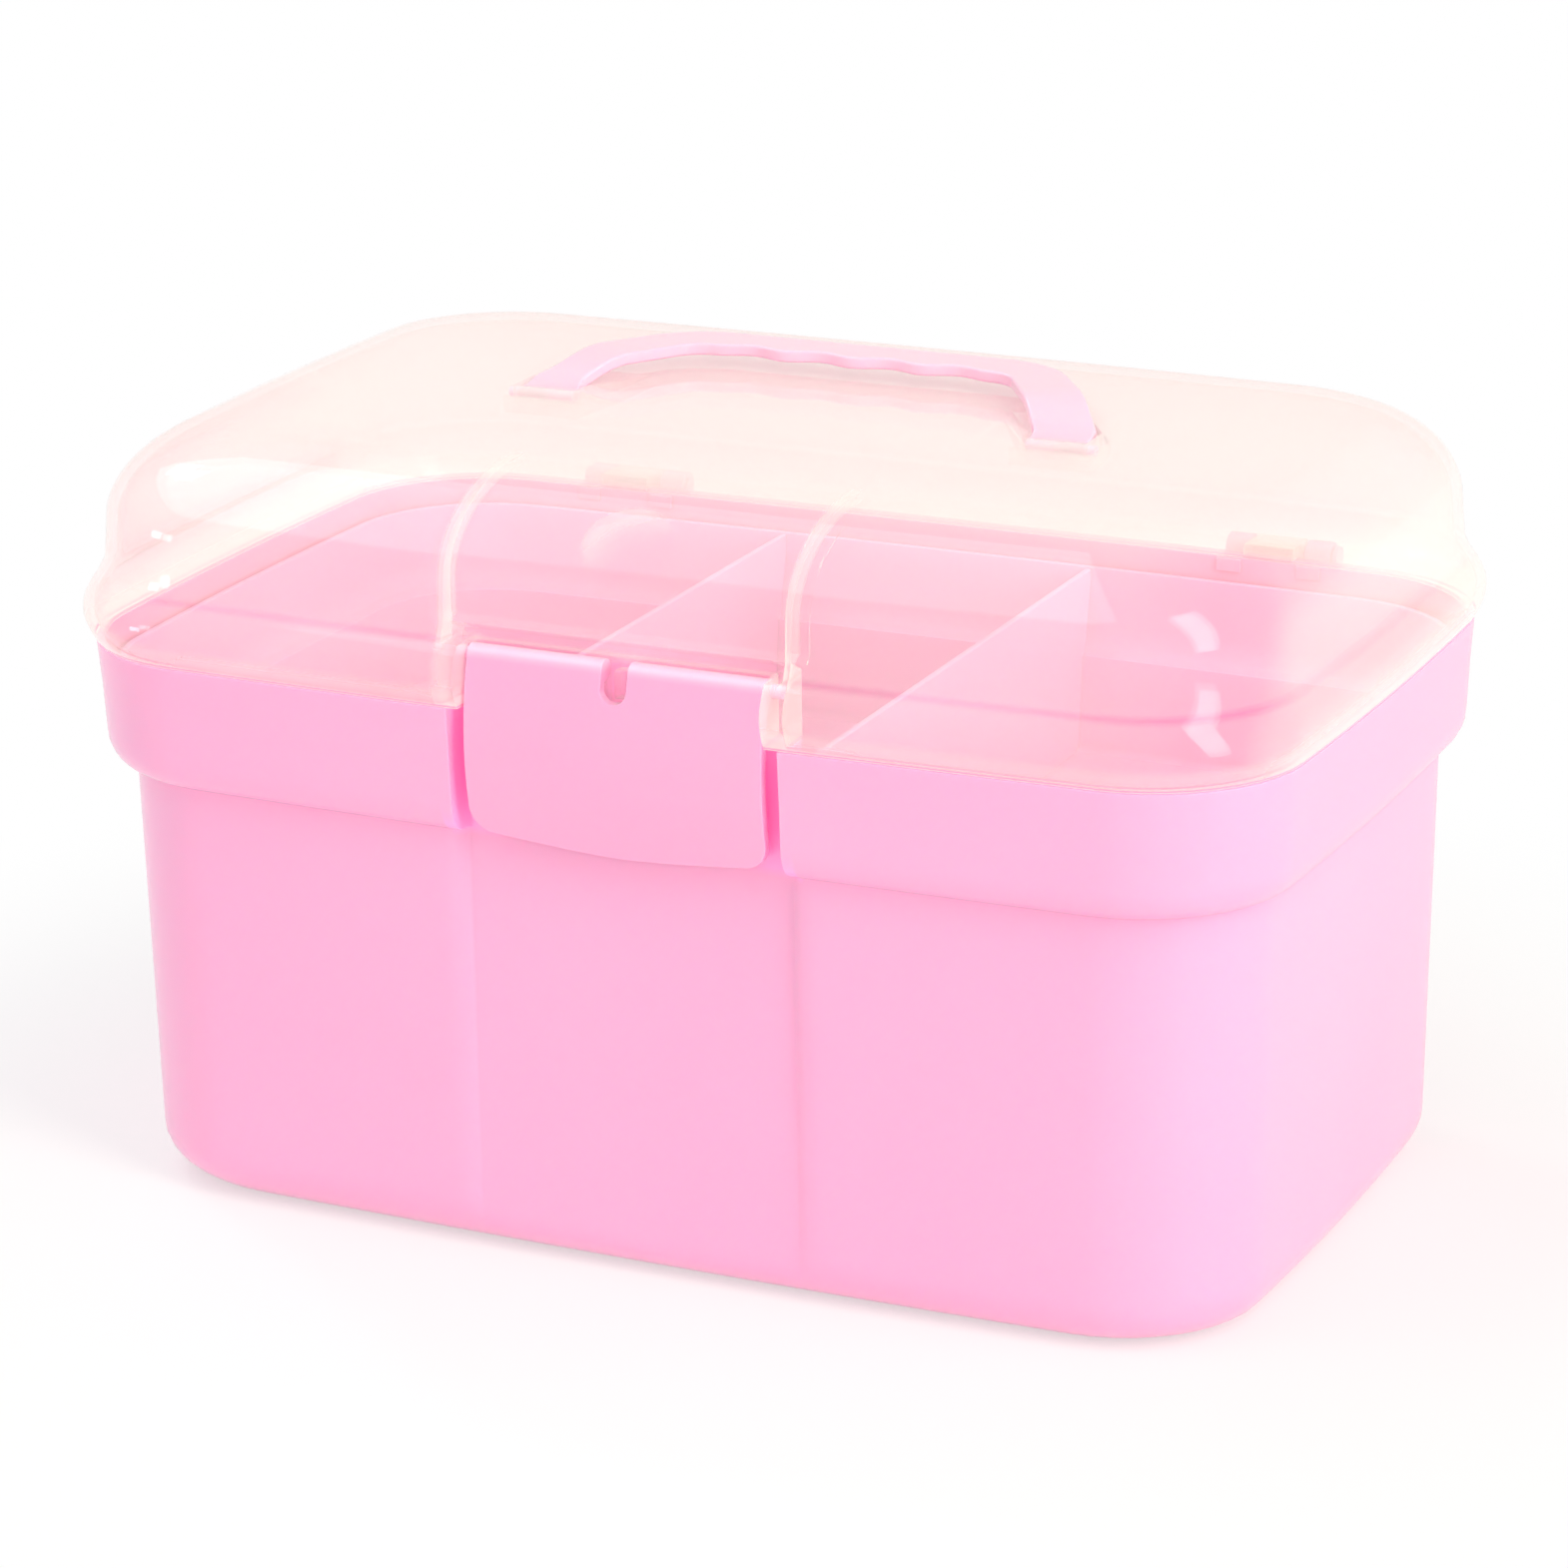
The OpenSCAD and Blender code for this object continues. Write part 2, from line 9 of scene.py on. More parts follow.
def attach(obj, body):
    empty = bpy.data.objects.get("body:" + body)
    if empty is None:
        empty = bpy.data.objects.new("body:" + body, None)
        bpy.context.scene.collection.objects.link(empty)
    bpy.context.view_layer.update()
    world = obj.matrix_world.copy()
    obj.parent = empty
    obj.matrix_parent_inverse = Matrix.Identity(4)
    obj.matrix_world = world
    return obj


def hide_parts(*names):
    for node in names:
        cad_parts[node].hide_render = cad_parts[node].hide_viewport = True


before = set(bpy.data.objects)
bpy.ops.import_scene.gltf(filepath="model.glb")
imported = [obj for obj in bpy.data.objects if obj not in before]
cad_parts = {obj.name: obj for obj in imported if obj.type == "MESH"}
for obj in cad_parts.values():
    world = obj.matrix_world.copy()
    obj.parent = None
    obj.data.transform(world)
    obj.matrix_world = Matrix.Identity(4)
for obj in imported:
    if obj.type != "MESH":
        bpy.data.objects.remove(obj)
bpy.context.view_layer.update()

MM = 0.001
NEAR = 0.05
SLIVER = 0.004
X, Y, Z = 0, 1, 2
SIDES = (-1, 1)

# Sizes in millimetres, as the solids have them

# Seam between tub and lid, whose outline the tub, lid and tray share
SEAM_WIDTH, SEAM_DEPTH, SEAM_Z = 320, 195, 146
SEAM_CORNER, SIDE_BOW, SEAM_GAP = 35, 3.2, 0.4
FRONT_Y = -SEAM_DEPTH / 2 - SIDE_BOW

# Tub: wall, rim band, sunk front panel and catch ledge
TUB_WALL, BASE_ROUND, WALL_TAPER = 2.2, 13, 1.6
BAND_FOOT, BAND_STEP, BAND_ROUND, BAND_LEAN = 113, 6.9, 9, 1.2
BAND_EASE_DROP, BAND_EASE_SHARE = 12, 0.6
WALL_SHARES = (0.02, 0.3, 0.65, 0.98)
PANEL_HALF, PANEL_RECESS, PANEL_BEVEL = 47, 3.2, 3.5
PANEL_Y = FRONT_Y + BAND_STEP + PANEL_RECESS
GAP_WALL, BEVEL_SHARE = 0.9, 0.26
CATCH_HALF, CATCH_REACH, CATCH_LOW, CATCH_HIGH = 35, 3, 133.5, 136.5

# Hinges: barrels around the pins, on webs
HINGE_Y, HINGE_Z, HINGE_PITCH = 107.6, 146.2, 190
KNUCKLE, PIN_BORE = 4, 2.06
TUB_KNUCKLE_AWAY, TUB_KNUCKLE_HALF, LID_KNUCKLE_HALF = 11.1, 3.5, 7
WEB_SINK, WEB_BORE_WALL, WEB_CLEAR = 1, 0.6, 0.1

# Lid: bulging lip, hollow above it, shoulders, sunk dome panel with its dimple, and latch seat
LID_WALL, LID_FOOT, LID_TOP = 2.2, SEAM_Z + SEAM_GAP, 199
CREASE_Z, LIP_BULGE, CREASE_INSET = 163, 2.9, 1.056
HOLLOW_Z, HOLLOW_INSET = 167, 2.56
DOME_INSET, SHOULDER_RISE = 3.2, 22
SHOULDER_FRONT, SHOULDER_SIDE, SHOULDER_BACK = 36, 24, 15
DOME_PANEL_HALF, DOME_PANEL_RECESS, DOME_PANEL_STEP = 45, 2.6, 0.7
DIMPLE_RADIUS, DIMPLE_DEPTH, DIMPLE_RISE_SHARE = 12, 1.3, 0.38
LATCH_SEAT, LATCH_SEAT_TOP, LATCH_SEAT_STEP, EAR = 40.6, 162.4, 0.5, 5
SLOT_GAP, SLOT_FLAT, SLOT_WALL, SLOT_COVER = 0.9, 4, 2, 0.5

# Latch: bowed plate with a rolled top edge around its axis, notch, hook and stub pins
LATCH_HALF, LATCH_AXIS_Y, LATCH_AXIS_Z = 40, -94, 159
LATCH_DROP, LATCH_THICK, LATCH_CROWN, LATCH_ROLL = 44, 2.6, 3, 2.8
LATCH_BOW, LATCH_BOW_EASE, LATCH_CORNER = 3, 12, 6
LATCH_FACE_Y, LATCH_FOOT = LATCH_AXIS_Y - LATCH_ROLL, LATCH_AXIS_Z - LATCH_DROP
ROLL_START, ROLL_TURN = -50, 230
LATCH_END_SPARE, LATCH_TOP_SPARE, OUTLINE_AHEAD = 4, 2, 20
NOTCH_HALF, NOTCH_ROUND, NOTCH_FOOT, NIB_HALF = 3.5, 3.3, LATCH_AXIS_Z - 7.2, 1.5
NOTCH_AHEAD, NOTCH_BEHIND, NOTCH_ABOVE = 12, 10, 9
HOOK_SINK, HOOK_CLEAR, HOOK_LOW, HOOK_HIGH = 1.5, 3.7, 129.7, 132.7
LATCH_STUB_FROM, LATCH_STUB_TO, LATCH_STUB = 39.5, 43.6, 1.8

# Handle: grip with finger hollows, cranked legs and the feet's pivots
HANDLE_Y, HANDLE_Z, FOOT_X, LEG_WIDTH = 8, 196.6, 71, 16
HANDLE_THICK, HANDLE_SINK, HANDLE_CRANK, CRANK_RUN = 3.2, 2.4, 7.4, 20
HANDLE_REACH, GRIP_HALF, GRIP_WIDTH, HANDLE_BEND, FOOT_STRAIGHT = 40, 48, 14, 18, 6
FINGER_PITCH, FINGER_DEPTH = 19.4, 2.6
FOOT_BARS = ((63.2, 78.8, 1.6), (71, 81.9, 1.5))

# Tray: rim, flange over the ledge, tapered body, front notch and two dividers
TRAY_WALL, TRAY_RIM, TRAY_LEDGE, TRAY_FLOOR = 1.8, 140, 115.5, 89.2
TRAY_INSET, TRAY_BODY_INSET, TRAY_BASE_INSET, TRAY_BASE_RISE = 4.3, 12.3, 15, 3
TRAY_NOTCH_HALF, TRAY_NOTCH_STEP, TRAY_NOTCH_Y = 50.1, 1.5, PANEL_Y + 3.1
DIVIDER_X, DIVIDER_BACK, DIVIDER_SINK, DIVIDER_DROP, DIVIDER_FOOT = 45, 95.5, 0.8, 0.4, 1
DIVIDER_LEDGE_RUN, DIVIDER_FLOOR_RUN = 5.7, 4

# How deep small blocks sit in their walls, how far cutters stand out, and plain shapes to start from
SINK, OVERRUN = 0.5, 5
START_RADIUS, START_GRID = 10, 100

# Rounding of edges: width, segments and the least angle in degrees
TUB_EDGE, LID_EDGE, TRAY_EDGE = (0.9, 3, 40), (0.35, 2, 38), (0.6, 3, 40)
LATCH_EDGE, HANDLE_EDGE, DIVIDER_EDGE = (1.2, 5, 35), (0.7, 4, 50), (0.5, 3, 40)
BARREL_EDGE, BLOCK_EDGE, FINE_EDGE = (0.4, 2, 40), (0.5, 2, 40), (0.3, 2, 40)
LUG_ROUND, LUG_STEPS = 0.8, 3

# Steps of the curves
CORNER_SEGMENTS, LONG_CUTS, SHORT_CUTS = 10, 13, 7
BAND_STEPS, BASE_STEPS, FLANGE_STEPS = 6, 8, 5
LIP_STEPS, SHOULDER_STEPS = 10, 14
BALL_SEGMENTS, BALL_RINGS, BAR_SEGMENTS = 72, 150, 40
SECTION_STEPS, LATCH_COLUMNS, LATCH_CORNER_STEPS, LATCH_FOOT_CUTS, NOTCH_STEPS = 16, 24, 8, 23, 8
GRIP_STATIONS, HOLLOW_STATIONS, BEND_STATIONS, LEG_STATIONS = 31, 16, 14, 8


# Modelling helpers: sizes in millimetres, on the piece in hand

def put_down():
    """Leaves edit mode and deselects everything."""
    if bpy.context.object and bpy.context.object.mode != "OBJECT":
        bpy.ops.object.mode_set(mode="OBJECT")
    bpy.ops.object.select_all(action="DESELECT")


def take(piece):
    put_down()
    piece.select_set(True)
    bpy.context.view_layer.objects.active = piece


def start(add_shape, **settings):
    """Adds a plain shape to start from, and opens it in edit mode with all of it selected."""
    put_down()
    add_shape(**settings)
    bpy.ops.object.mode_set(mode="EDIT")
    return bpy.context.object


def cage():
    return bmesh.from_edit_mesh(bpy.context.object.data)


def middle(part):
    if isinstance(part, bmesh.types.BMVert):
        return part.co / MM
    return sum((v.co for v in part.verts), Vector()) / len(part.verts) / MM


def pick_all():
    bpy.ops.mesh.select_all(action="SELECT")


def pick(kind, wanted):
    """Selects the vertices, edges or faces whose middle is wanted."""
    bpy.ops.mesh.select_mode(type=kind)
    bpy.ops.mesh.select_all(action="DESELECT")
    mesh = cage()
    for part in {"VERT": mesh.verts, "EDGE": mesh.edges, "FACE": mesh.faces}[kind]:
        if wanted(middle(part)):
            part.select_set(True)
    mesh.select_flush_mode()
    bmesh.update_edit_mesh(bpy.context.object.data)


def pick_each(places):
    """Selects the vertex at each place in turn."""
    for place in places:
        pick("VERT", lambda m: (m - place).length < NEAR)
        yield place


def move(x=0.0, y=0.0, z=0.0):
    bpy.ops.transform.translate(value=(x * MM, y * MM, z * MM))


def stretch(x, y, z, about=(0, 0, 0)):
    bpy.ops.transform.resize(value=(x, y, z), center_override=[c * MM for c in about])


def rotate(angle, axis):
    """Turns the selection about an axis through the origin."""
    bpy.ops.transform.rotate(value=angle, orient_axis=axis, center_override=(0, 0, 0))


def extrude(x=0.0, y=0.0, z=0.0):
    bpy.ops.mesh.extrude_region_move()
    move(x, y, z)


def face_outward():
    """Selects everything and turns the faces outward."""
    pick_all()
    bpy.ops.mesh.normals_make_consistent(inside=False)


def slice_across(axis, place):
    """Adds an edge loop where a plane crosses the selected faces."""
    point, normal = Vector(), Vector()
    point[axis], normal[axis] = place * MM, 1
    bpy.ops.mesh.bisect(plane_co=point, plane_no=normal)


def slice_all(axis, places):
    for place in places:
        pick_all()
        slice_across(axis, place)


def slice_sides(*places):
    """Adds edge loops at each distance to the left and to the right of the middle."""
    slice_all(X, [side * place for side in SIDES for place in places])


def flatten_y(y, wanted):
    """Presses the wanted vertices flat onto a plane across Y."""
    pick("VERT", wanted)
    stretch(1, 0, 1, (0, y, 0))


def modify(kind, **settings):
    """Adds a modifier to the piece in hand and applies it."""
    bpy.ops.object.modifier_add(type=kind)
    modifier = bpy.context.object.modifiers[-1]
    for name, value in settings.items():
        setattr(modifier, name, value)
    bpy.ops.object.modifier_apply(modifier=modifier.name)


def drop_slivers():
    """Merges away what a bevel leaves without area, and deletes faces that hang on by one edge."""
    bpy.ops.object.mode_set(mode="EDIT")
    pick_all()
    bpy.ops.mesh.remove_doubles(threshold=SLIVER * MM)
    bpy.ops.mesh.dissolve_degenerate(threshold=SLIVER * MM)
    bpy.ops.mesh.select_mode(type="FACE")
    bpy.ops.mesh.select_all(action="DESELECT")
    for face in cage().faces:
        face.select_set(any(edge.is_boundary for edge in face.edges))
    bmesh.update_edit_mesh(bpy.context.object.data)
    bpy.ops.mesh.delete(type="FACE")
    bpy.ops.object.mode_set(mode="OBJECT")


def soften(piece, edge):
    """Rounds a piece's sharp edges and smooths its shading."""
    width, segments, angle = edge
    take(piece)
    modify("BEVEL", width=width * MM, segments=segments, limit_method="ANGLE",
           angle_limit=math.radians(angle), use_clamp_overlap=True)
    drop_slivers()
    bpy.ops.object.shade_smooth_by_angle(angle=math.radians(angle))
    modify("WEIGHTED_NORMAL", keep_sharp=True)


def weld(piece, others):
    """Joins finished shapes into one piece."""
    take(piece)
    for other in others:
        other.select_set(True)
    bpy.ops.object.join()


def cut(piece, cutter, operation):
    """Adds a shape to a piece or takes it away, and drops the shape."""
    take(piece)
    modify("BOOLEAN", operation=operation, object=cutter, solver="EXACT")
    bpy.data.objects.remove(cutter)


def block(low, high):
    """A plain block between two corners, left in edit mode."""
    made = start(bpy.ops.mesh.primitive_cube_add, size=MM)
    stretch(*[h - l for l, h in zip(low, high)])
    move(*[(l + h) / 2 for l, h in zip(low, high)])
    return made


def lug(low, high):
    """A small block with its upper and lower front edge rounded."""
    made = block(low, high)
    pick("EDGE", lambda m: m.y < low[Y] + NEAR and abs(m.x) < NEAR)
    bpy.ops.mesh.bevel(offset=LUG_ROUND * MM, segments=LUG_STEPS)
    soften(made, FINE_EDGE)
    return made


def bar(x_from, x_to, y, z, radius):
    """A round bar along X, left in edit mode."""
    made = start(bpy.ops.mesh.primitive_cylinder_add, vertices=BAR_SEGMENTS, radius=radius * MM,
                 depth=(x_to - x_from) * MM)
    rotate(math.pi / 2, "Y")
    move((x_from + x_to) / 2, y, z)
    return made


def pivot(side, near, far, y, z, radius):
    """A round bar on one side of the box, with its ends eased."""
    made = bar(*sorted((side * near, side * far)), y, z, radius)
    soften(made, FINE_EDGE)
    return made


def quarter(steps):
    """Sine and cosine along a quarter turn, from flat to upright."""
    turns = [math.pi / 2 * i / steps for i in range(steps + 1)]
    return [(math.sin(turn), math.cos(turn)) for turn in turns]


class Shell:
    """A shell raised ring by ring from the swelled, round-cornered seam outline."""

    def __init__(self, z, inset):
        self.piece = start(bpy.ops.mesh.primitive_plane_add, size=MM)
        stretch(SEAM_WIDTH, SEAM_DEPTH, 1)
        bpy.ops.mesh.bevel(offset_type="ABSOLUTE", offset=SEAM_CORNER * MM,
                           segments=CORNER_SEGMENTS, profile=0.5, affect="VERTICES")
        bpy.ops.mesh.delete(type="ONLY_FACE")
        for axis, cuts in ((X, LONG_CUTS), (Y, SHORT_CUTS)):
            pick("EDGE", lambda m: abs(m[axis]) < NEAR)
            bpy.ops.mesh.subdivide(number_cuts=cuts)
        self.half_x, self.half_y, self.mid_y, self.z = SEAM_WIDTH / 2, SEAM_DEPTH / 2, 0, 0
        self.swell()
        pick_all()
        self.shift(z, inset, inset, inset)

    def swell(self):
        """Bows the four sides outward, point by point."""
        for p in pick_each([middle(v) for v in cage().verts]):
            move(SIDE_BOW * (1 - (p.y / self.half_y) ** 2) * p.x / self.half_x,
                 SIDE_BOW * (1 - (p.x / self.half_x) ** 2) * p.y / self.half_y)

    def shift(self, z, side, front, back):
        """Moves the open edge to a level, set in from the seam outline by the given amounts."""
        half_x = SEAM_WIDTH / 2 - side
        half_y = (SEAM_DEPTH - front - back) / 2
        mid_y = (front - back) / 2
        stretch(half_x / self.half_x, half_y / self.half_y, 1, (0, self.mid_y, self.z))
        move(0, mid_y - self.mid_y, z - self.z)
        self.half_x, self.half_y, self.mid_y, self.z = half_x, half_y, mid_y, z

    def ring(self, z, side, front=None, back=None):
        """Extrudes the open edge to a new level, set in all round as the sides are by default."""
        bpy.ops.mesh.extrude_region_move()
        self.shift(z, side, side if front is None else front, side if back is None else back)

    def close(self):
        """Closes the open edge with a flat face."""
        bpy.ops.mesh.edge_face_add()
        face_outward()

    def thicken(self, wall, edge):
        """Gives the shell its wall, inward, and rounds its edges."""
        take(self.piece)
        modify("SOLIDIFY", thickness=wall * MM, offset=-1, use_even_offset=True)
        soften(self.piece, edge)


# Hinge knuckles

def knuckle(mid_x, half, web_low, web_high):
    """A bored barrel on a web that runs into the wall behind it."""
    x_from, x_to = mid_x - half, mid_x + half
    barrel = bar(x_from, x_to, HINGE_Y, HINGE_Z, KNUCKLE)
    pick("FACE", lambda m: m.x < x_from + NEAR or m.x > x_to - NEAR)
    bpy.ops.mesh.inset(thickness=(KNUCKLE - PIN_BORE) * MM)
    bpy.ops.mesh.bridge_edge_loops()
    soften(barrel, BARREL_EDGE)
    web = block((x_from, SEAM_DEPTH / 2 - WEB_SINK, web_low),
                (x_to, HINGE_Y - PIN_BORE - WEB_BORE_WALL, web_high))
    soften(web, BLOCK_EDGE)
    weld(barrel, [web])
    return barrel


# Tub

def model_tub():
    """The tub's shell with its rim band and sunk panel, the catch ledge and the hinge knuckles."""
    shell = Shell(SEAM_Z, 0)
    shell.ring(SEAM_Z - BAND_EASE_DROP, BAND_EASE_SHARE * BAND_LEAN)
    for rise, run in quarter(BAND_STEPS):
        shell.ring(BAND_FOOT + BAND_ROUND * (1 - rise),
                   BAND_LEAN + (BAND_STEP - BAND_LEAN) * (1 - run))
    for share in WALL_SHARES:
        shell.ring(BAND_FOOT + share * (BASE_ROUND - BAND_FOOT), BAND_STEP + share * WALL_TAPER)
    for rise, run in quarter(BASE_STEPS):
        shell.ring(BASE_ROUND * (1 - rise), BAND_STEP + WALL_TAPER + BASE_ROUND * (1 - run))
    shell.close()
    gap_edge = PANEL_HALF - PANEL_BEVEL
    gap_side = gap_edge + GAP_WALL
    slice_sides(gap_edge, gap_side, PANEL_HALF)
    pick("VERT", lambda m: abs(abs(m.x) - gap_side) < NEAR and m.y < PANEL_Y
         and m.z < BAND_FOOT + NEAR)
    stretch(1, BEVEL_SHARE, 1, (0, PANEL_Y, 0))
    flatten_y(PANEL_Y, lambda m: abs(m.x) < gap_edge + NEAR and m.y < PANEL_Y)
    shell.thicken(TUB_WALL, TUB_EDGE)
    catch = lug((-CATCH_HALF, PANEL_Y - CATCH_REACH, CATCH_LOW),
                (CATCH_HALF, PANEL_Y + SINK, CATCH_HIGH))
    barrels = [knuckle(side * HINGE_PITCH / 2 + end * TUB_KNUCKLE_AWAY, TUB_KNUCKLE_HALF,
                       HINGE_Z - KNUCKLE, SEAM_Z - WEB_CLEAR)
               for side in SIDES for end in SIDES]
    weld(shell.piece, [catch] + barrels)
    return shell.piece


# Lid

def lid_skin(off, grow):
    """One skin of the lid: the outer one, or the inner one, set in by the wall and past the ears."""
    shell = Shell(LID_FOOT, off)
    for i in range(1, LIP_STEPS + 1):
        t = i / LIP_STEPS
        shell.ring(LID_FOOT + t * (CREASE_Z - LID_FOOT),
                   off - LIP_BULGE * math.sin(math.pi * t) + t * CREASE_INSET)
    shell.ring(HOLLOW_Z, off + HOLLOW_INSET)
    top, rise_height = LID_TOP - off, SHOULDER_RISE - off / 2
    levels = [(top - rise_height + rise_height * rise, 1 - run)
              for rise, run in quarter(SHOULDER_STEPS)]
    for z, share in levels:
        shell.ring(z, *[DOME_INSET + off + (reach - off) * share
                        for reach in (SHOULDER_SIDE, SHOULDER_FRONT, SHOULDER_BACK)])
    shell.close()
    seat, panel = LATCH_SEAT + grow, DOME_PANEL_HALF + grow
    seat_top = LATCH_SEAT_TOP + off / 2
    panel_foot = seat_top + (LATCH_SEAT_STEP + 2 * off)
    panel_y = FRONT_Y + DOME_INSET + (DOME_PANEL_RECESS + off)
    slice_sides(seat, seat + LATCH_SEAT_STEP, panel, panel + DOME_PANEL_STEP)
    for level in (seat_top, panel_foot):
        pick("FACE", lambda m: abs(m.x) < panel + DOME_PANEL_STEP and m.y < 0
             and m.z < LID_TOP - SHOULDER_RISE)
        slice_across(Z, level)
    flatten_y(panel_y, lambda m: abs(m.x) < panel + NEAR and m.y < 0
              and panel_foot - NEAR < m.z < top - rise_height - NEAR)
    for z, share in levels:
        flatten_y(panel_y + (SHOULDER_FRONT - off) * share,
                  lambda m: abs(m.x) < panel + NEAR and m.y < 0 and abs(m.z - z) < NEAR)
    flatten_y(PANEL_Y + off,
              lambda m: abs(m.x) < seat + NEAR and m.y < 0 and m.z < seat_top + NEAR)
    put_down()
    return shell.piece


def leg_slots(grow, high):
    """The two legs' slots in the lid's top: cuts that follow the slant and get shallower."""
    half, end = LEG_WIDTH / 2 + SLOT_GAP + grow, CRANK_RUN + grow
    low = -HANDLE_THICK / 2 - SLOT_GAP - grow
    slant = (FOOT_X - GRIP_HALF) / (HANDLE_REACH - FOOT_STRAIGHT)
    turn = half * (math.hypot(slant, 1) - 1) / slant
    inner, outer = FOOT_STRAIGHT - turn, FOOT_STRAIGHT + turn
    slot = block((FOOT_X - half, HANDLE_Y + low, HANDLE_Z + low),
                 (FOOT_X + half, HANDLE_Y + end, high))
    stops = [inner, SLOT_FLAT, outer]
    slice_all(Y, [HANDLE_Y + y for y in stops])
    for y in stops + [end]:
        at = HANDLE_Y + y
        pick("VERT", lambda m: abs(m.y - at) < NEAR and m.z < HANDLE_Z + low + NEAR)
        rise_share = max(0, y - SLOT_FLAT) / (CRANK_RUN - SLOT_FLAT)
        move(0, 0, (HANDLE_SINK - grow - low) * rise_share)
        pick("VERT", lambda m: abs(m.y - at) < NEAR and m.x < FOOT_X)
        move(-slant * max(0, y - inner))
        pick("VERT", lambda m: abs(m.y - at) < NEAR and m.x > FOOT_X)
        move(-slant * max(0, y - outer))
    take(slot)
    modify("MIRROR", use_axis=(True, False, False))
    return slot


def thumb_dimple():
    """A ball that presses a soft round dish into the dome panel."""
    turn = math.pi / 2 * DIMPLE_RISE_SHARE
    ball_radius = DIMPLE_RADIUS * DIMPLE_RADIUS / DIMPLE_DEPTH / 2 + DIMPLE_DEPTH / 2
    y = FRONT_Y + DOME_INSET + DOME_PANEL_RECESS + SHOULDER_FRONT * (1 - math.cos(turn))
    z = LID_TOP - SHOULDER_RISE + SHOULDER_RISE * math.sin(turn)
    tilt = math.atan2(SHOULDER_RISE * math.cos(turn), SHOULDER_FRONT * math.sin(turn))
    ball = start(bpy.ops.mesh.primitive_uv_sphere_add, segments=BALL_SEGMENTS,
                 ring_count=BALL_RINGS, radius=ball_radius * MM)
    rotate(-tilt, "X")
    reach = ball_radius - DIMPLE_DEPTH
    move(0, y - reach * math.sin(tilt), z + reach * math.cos(tilt))
    return ball


def model_lid():
    """Two skins joined at the foot, with leg slots, thumb dimple, latch nib and hinge knuckles."""
    lid, inner = lid_skin(0, 0), lid_skin(LID_WALL, EAR)
    take(inner)
    bpy.ops.object.mode_set(mode="EDIT")
    pick_all()
    bpy.ops.mesh.flip_normals()
    weld(lid, [inner])
    bpy.ops.object.mode_set(mode="EDIT")
    pick("EDGE", lambda m: m.z < LID_FOOT + NEAR)
    bpy.ops.mesh.bridge_edge_loops()
    cut(lid, leg_slots(SLOT_WALL, LID_TOP - SLOT_COVER), "UNION")
    cut(lid, leg_slots(0, LID_TOP + OVERRUN), "DIFFERENCE")
    cut(lid, thumb_dimple(), "DIFFERENCE")
    soften(lid, LID_EDGE)
    nib = lug((-NIB_HALF, LATCH_AXIS_Y, NOTCH_FOOT), (NIB_HALF, PANEL_Y + SINK, LATCH_AXIS_Z))
    barrels = [knuckle(side * HINGE_PITCH / 2, LID_KNUCKLE_HALF, LID_FOOT, LID_FOOT + KNUCKLE)
               for side in SIDES]
    weld(lid, [nib] + barrels)
    return lid


# Latch

def latch_section():
    """Side section of the latch, as Y and Z: bowed front, back of the plate, rolled top edge."""
    radius = LATCH_DROP * LATCH_DROP / LATCH_CROWN / 8 + LATCH_CROWN / 2
    centre_y, centre_z = LATCH_FACE_Y - LATCH_CROWN + radius, LATCH_AXIS_Z - LATCH_DROP / 2

    def bowed(r, z):
        return centre_y - math.sqrt(r * r - (z - centre_z) ** 2), z

    levels = [LATCH_AXIS_Z - (LATCH_DROP + LATCH_BOW) * i / SECTION_STEPS
              for i in range(SECTION_STEPS + 1)]
    front = [bowed(radius, z) for z in levels]
    rear = [bowed(radius - LATCH_THICK, z) for z in reversed(levels[1:])]
    turns = [math.radians(ROLL_START + ROLL_TURN * i / SECTION_STEPS)
             for i in range(1, SECTION_STEPS)]
    top = [(LATCH_AXIS_Y + LATCH_ROLL * math.cos(turn), LATCH_AXIS_Z + LATCH_ROLL * math.sin(turn))
           for turn in turns]
    return front + rear + top


def latch_plate():
    """The side section drawn out along the latch, with a little to spare at both ends."""
    section, half = latch_section(), LATCH_HALF + LATCH_END_SPARE
    plate = start(bpy.ops.mesh.primitive_circle_add, vertices=len(section), radius=START_RADIUS * MM,
                  fill_type="NGON")
    for place, (y, z) in zip(pick_each([middle(v) for v in cage().verts]), section):
        move(-half - place.x, y - place.y, z - place.z)
    pick_all()
    for _ in range(LATCH_COLUMNS):
        extrude(2 * half / LATCH_COLUMNS)
    face_outward()
    return plate


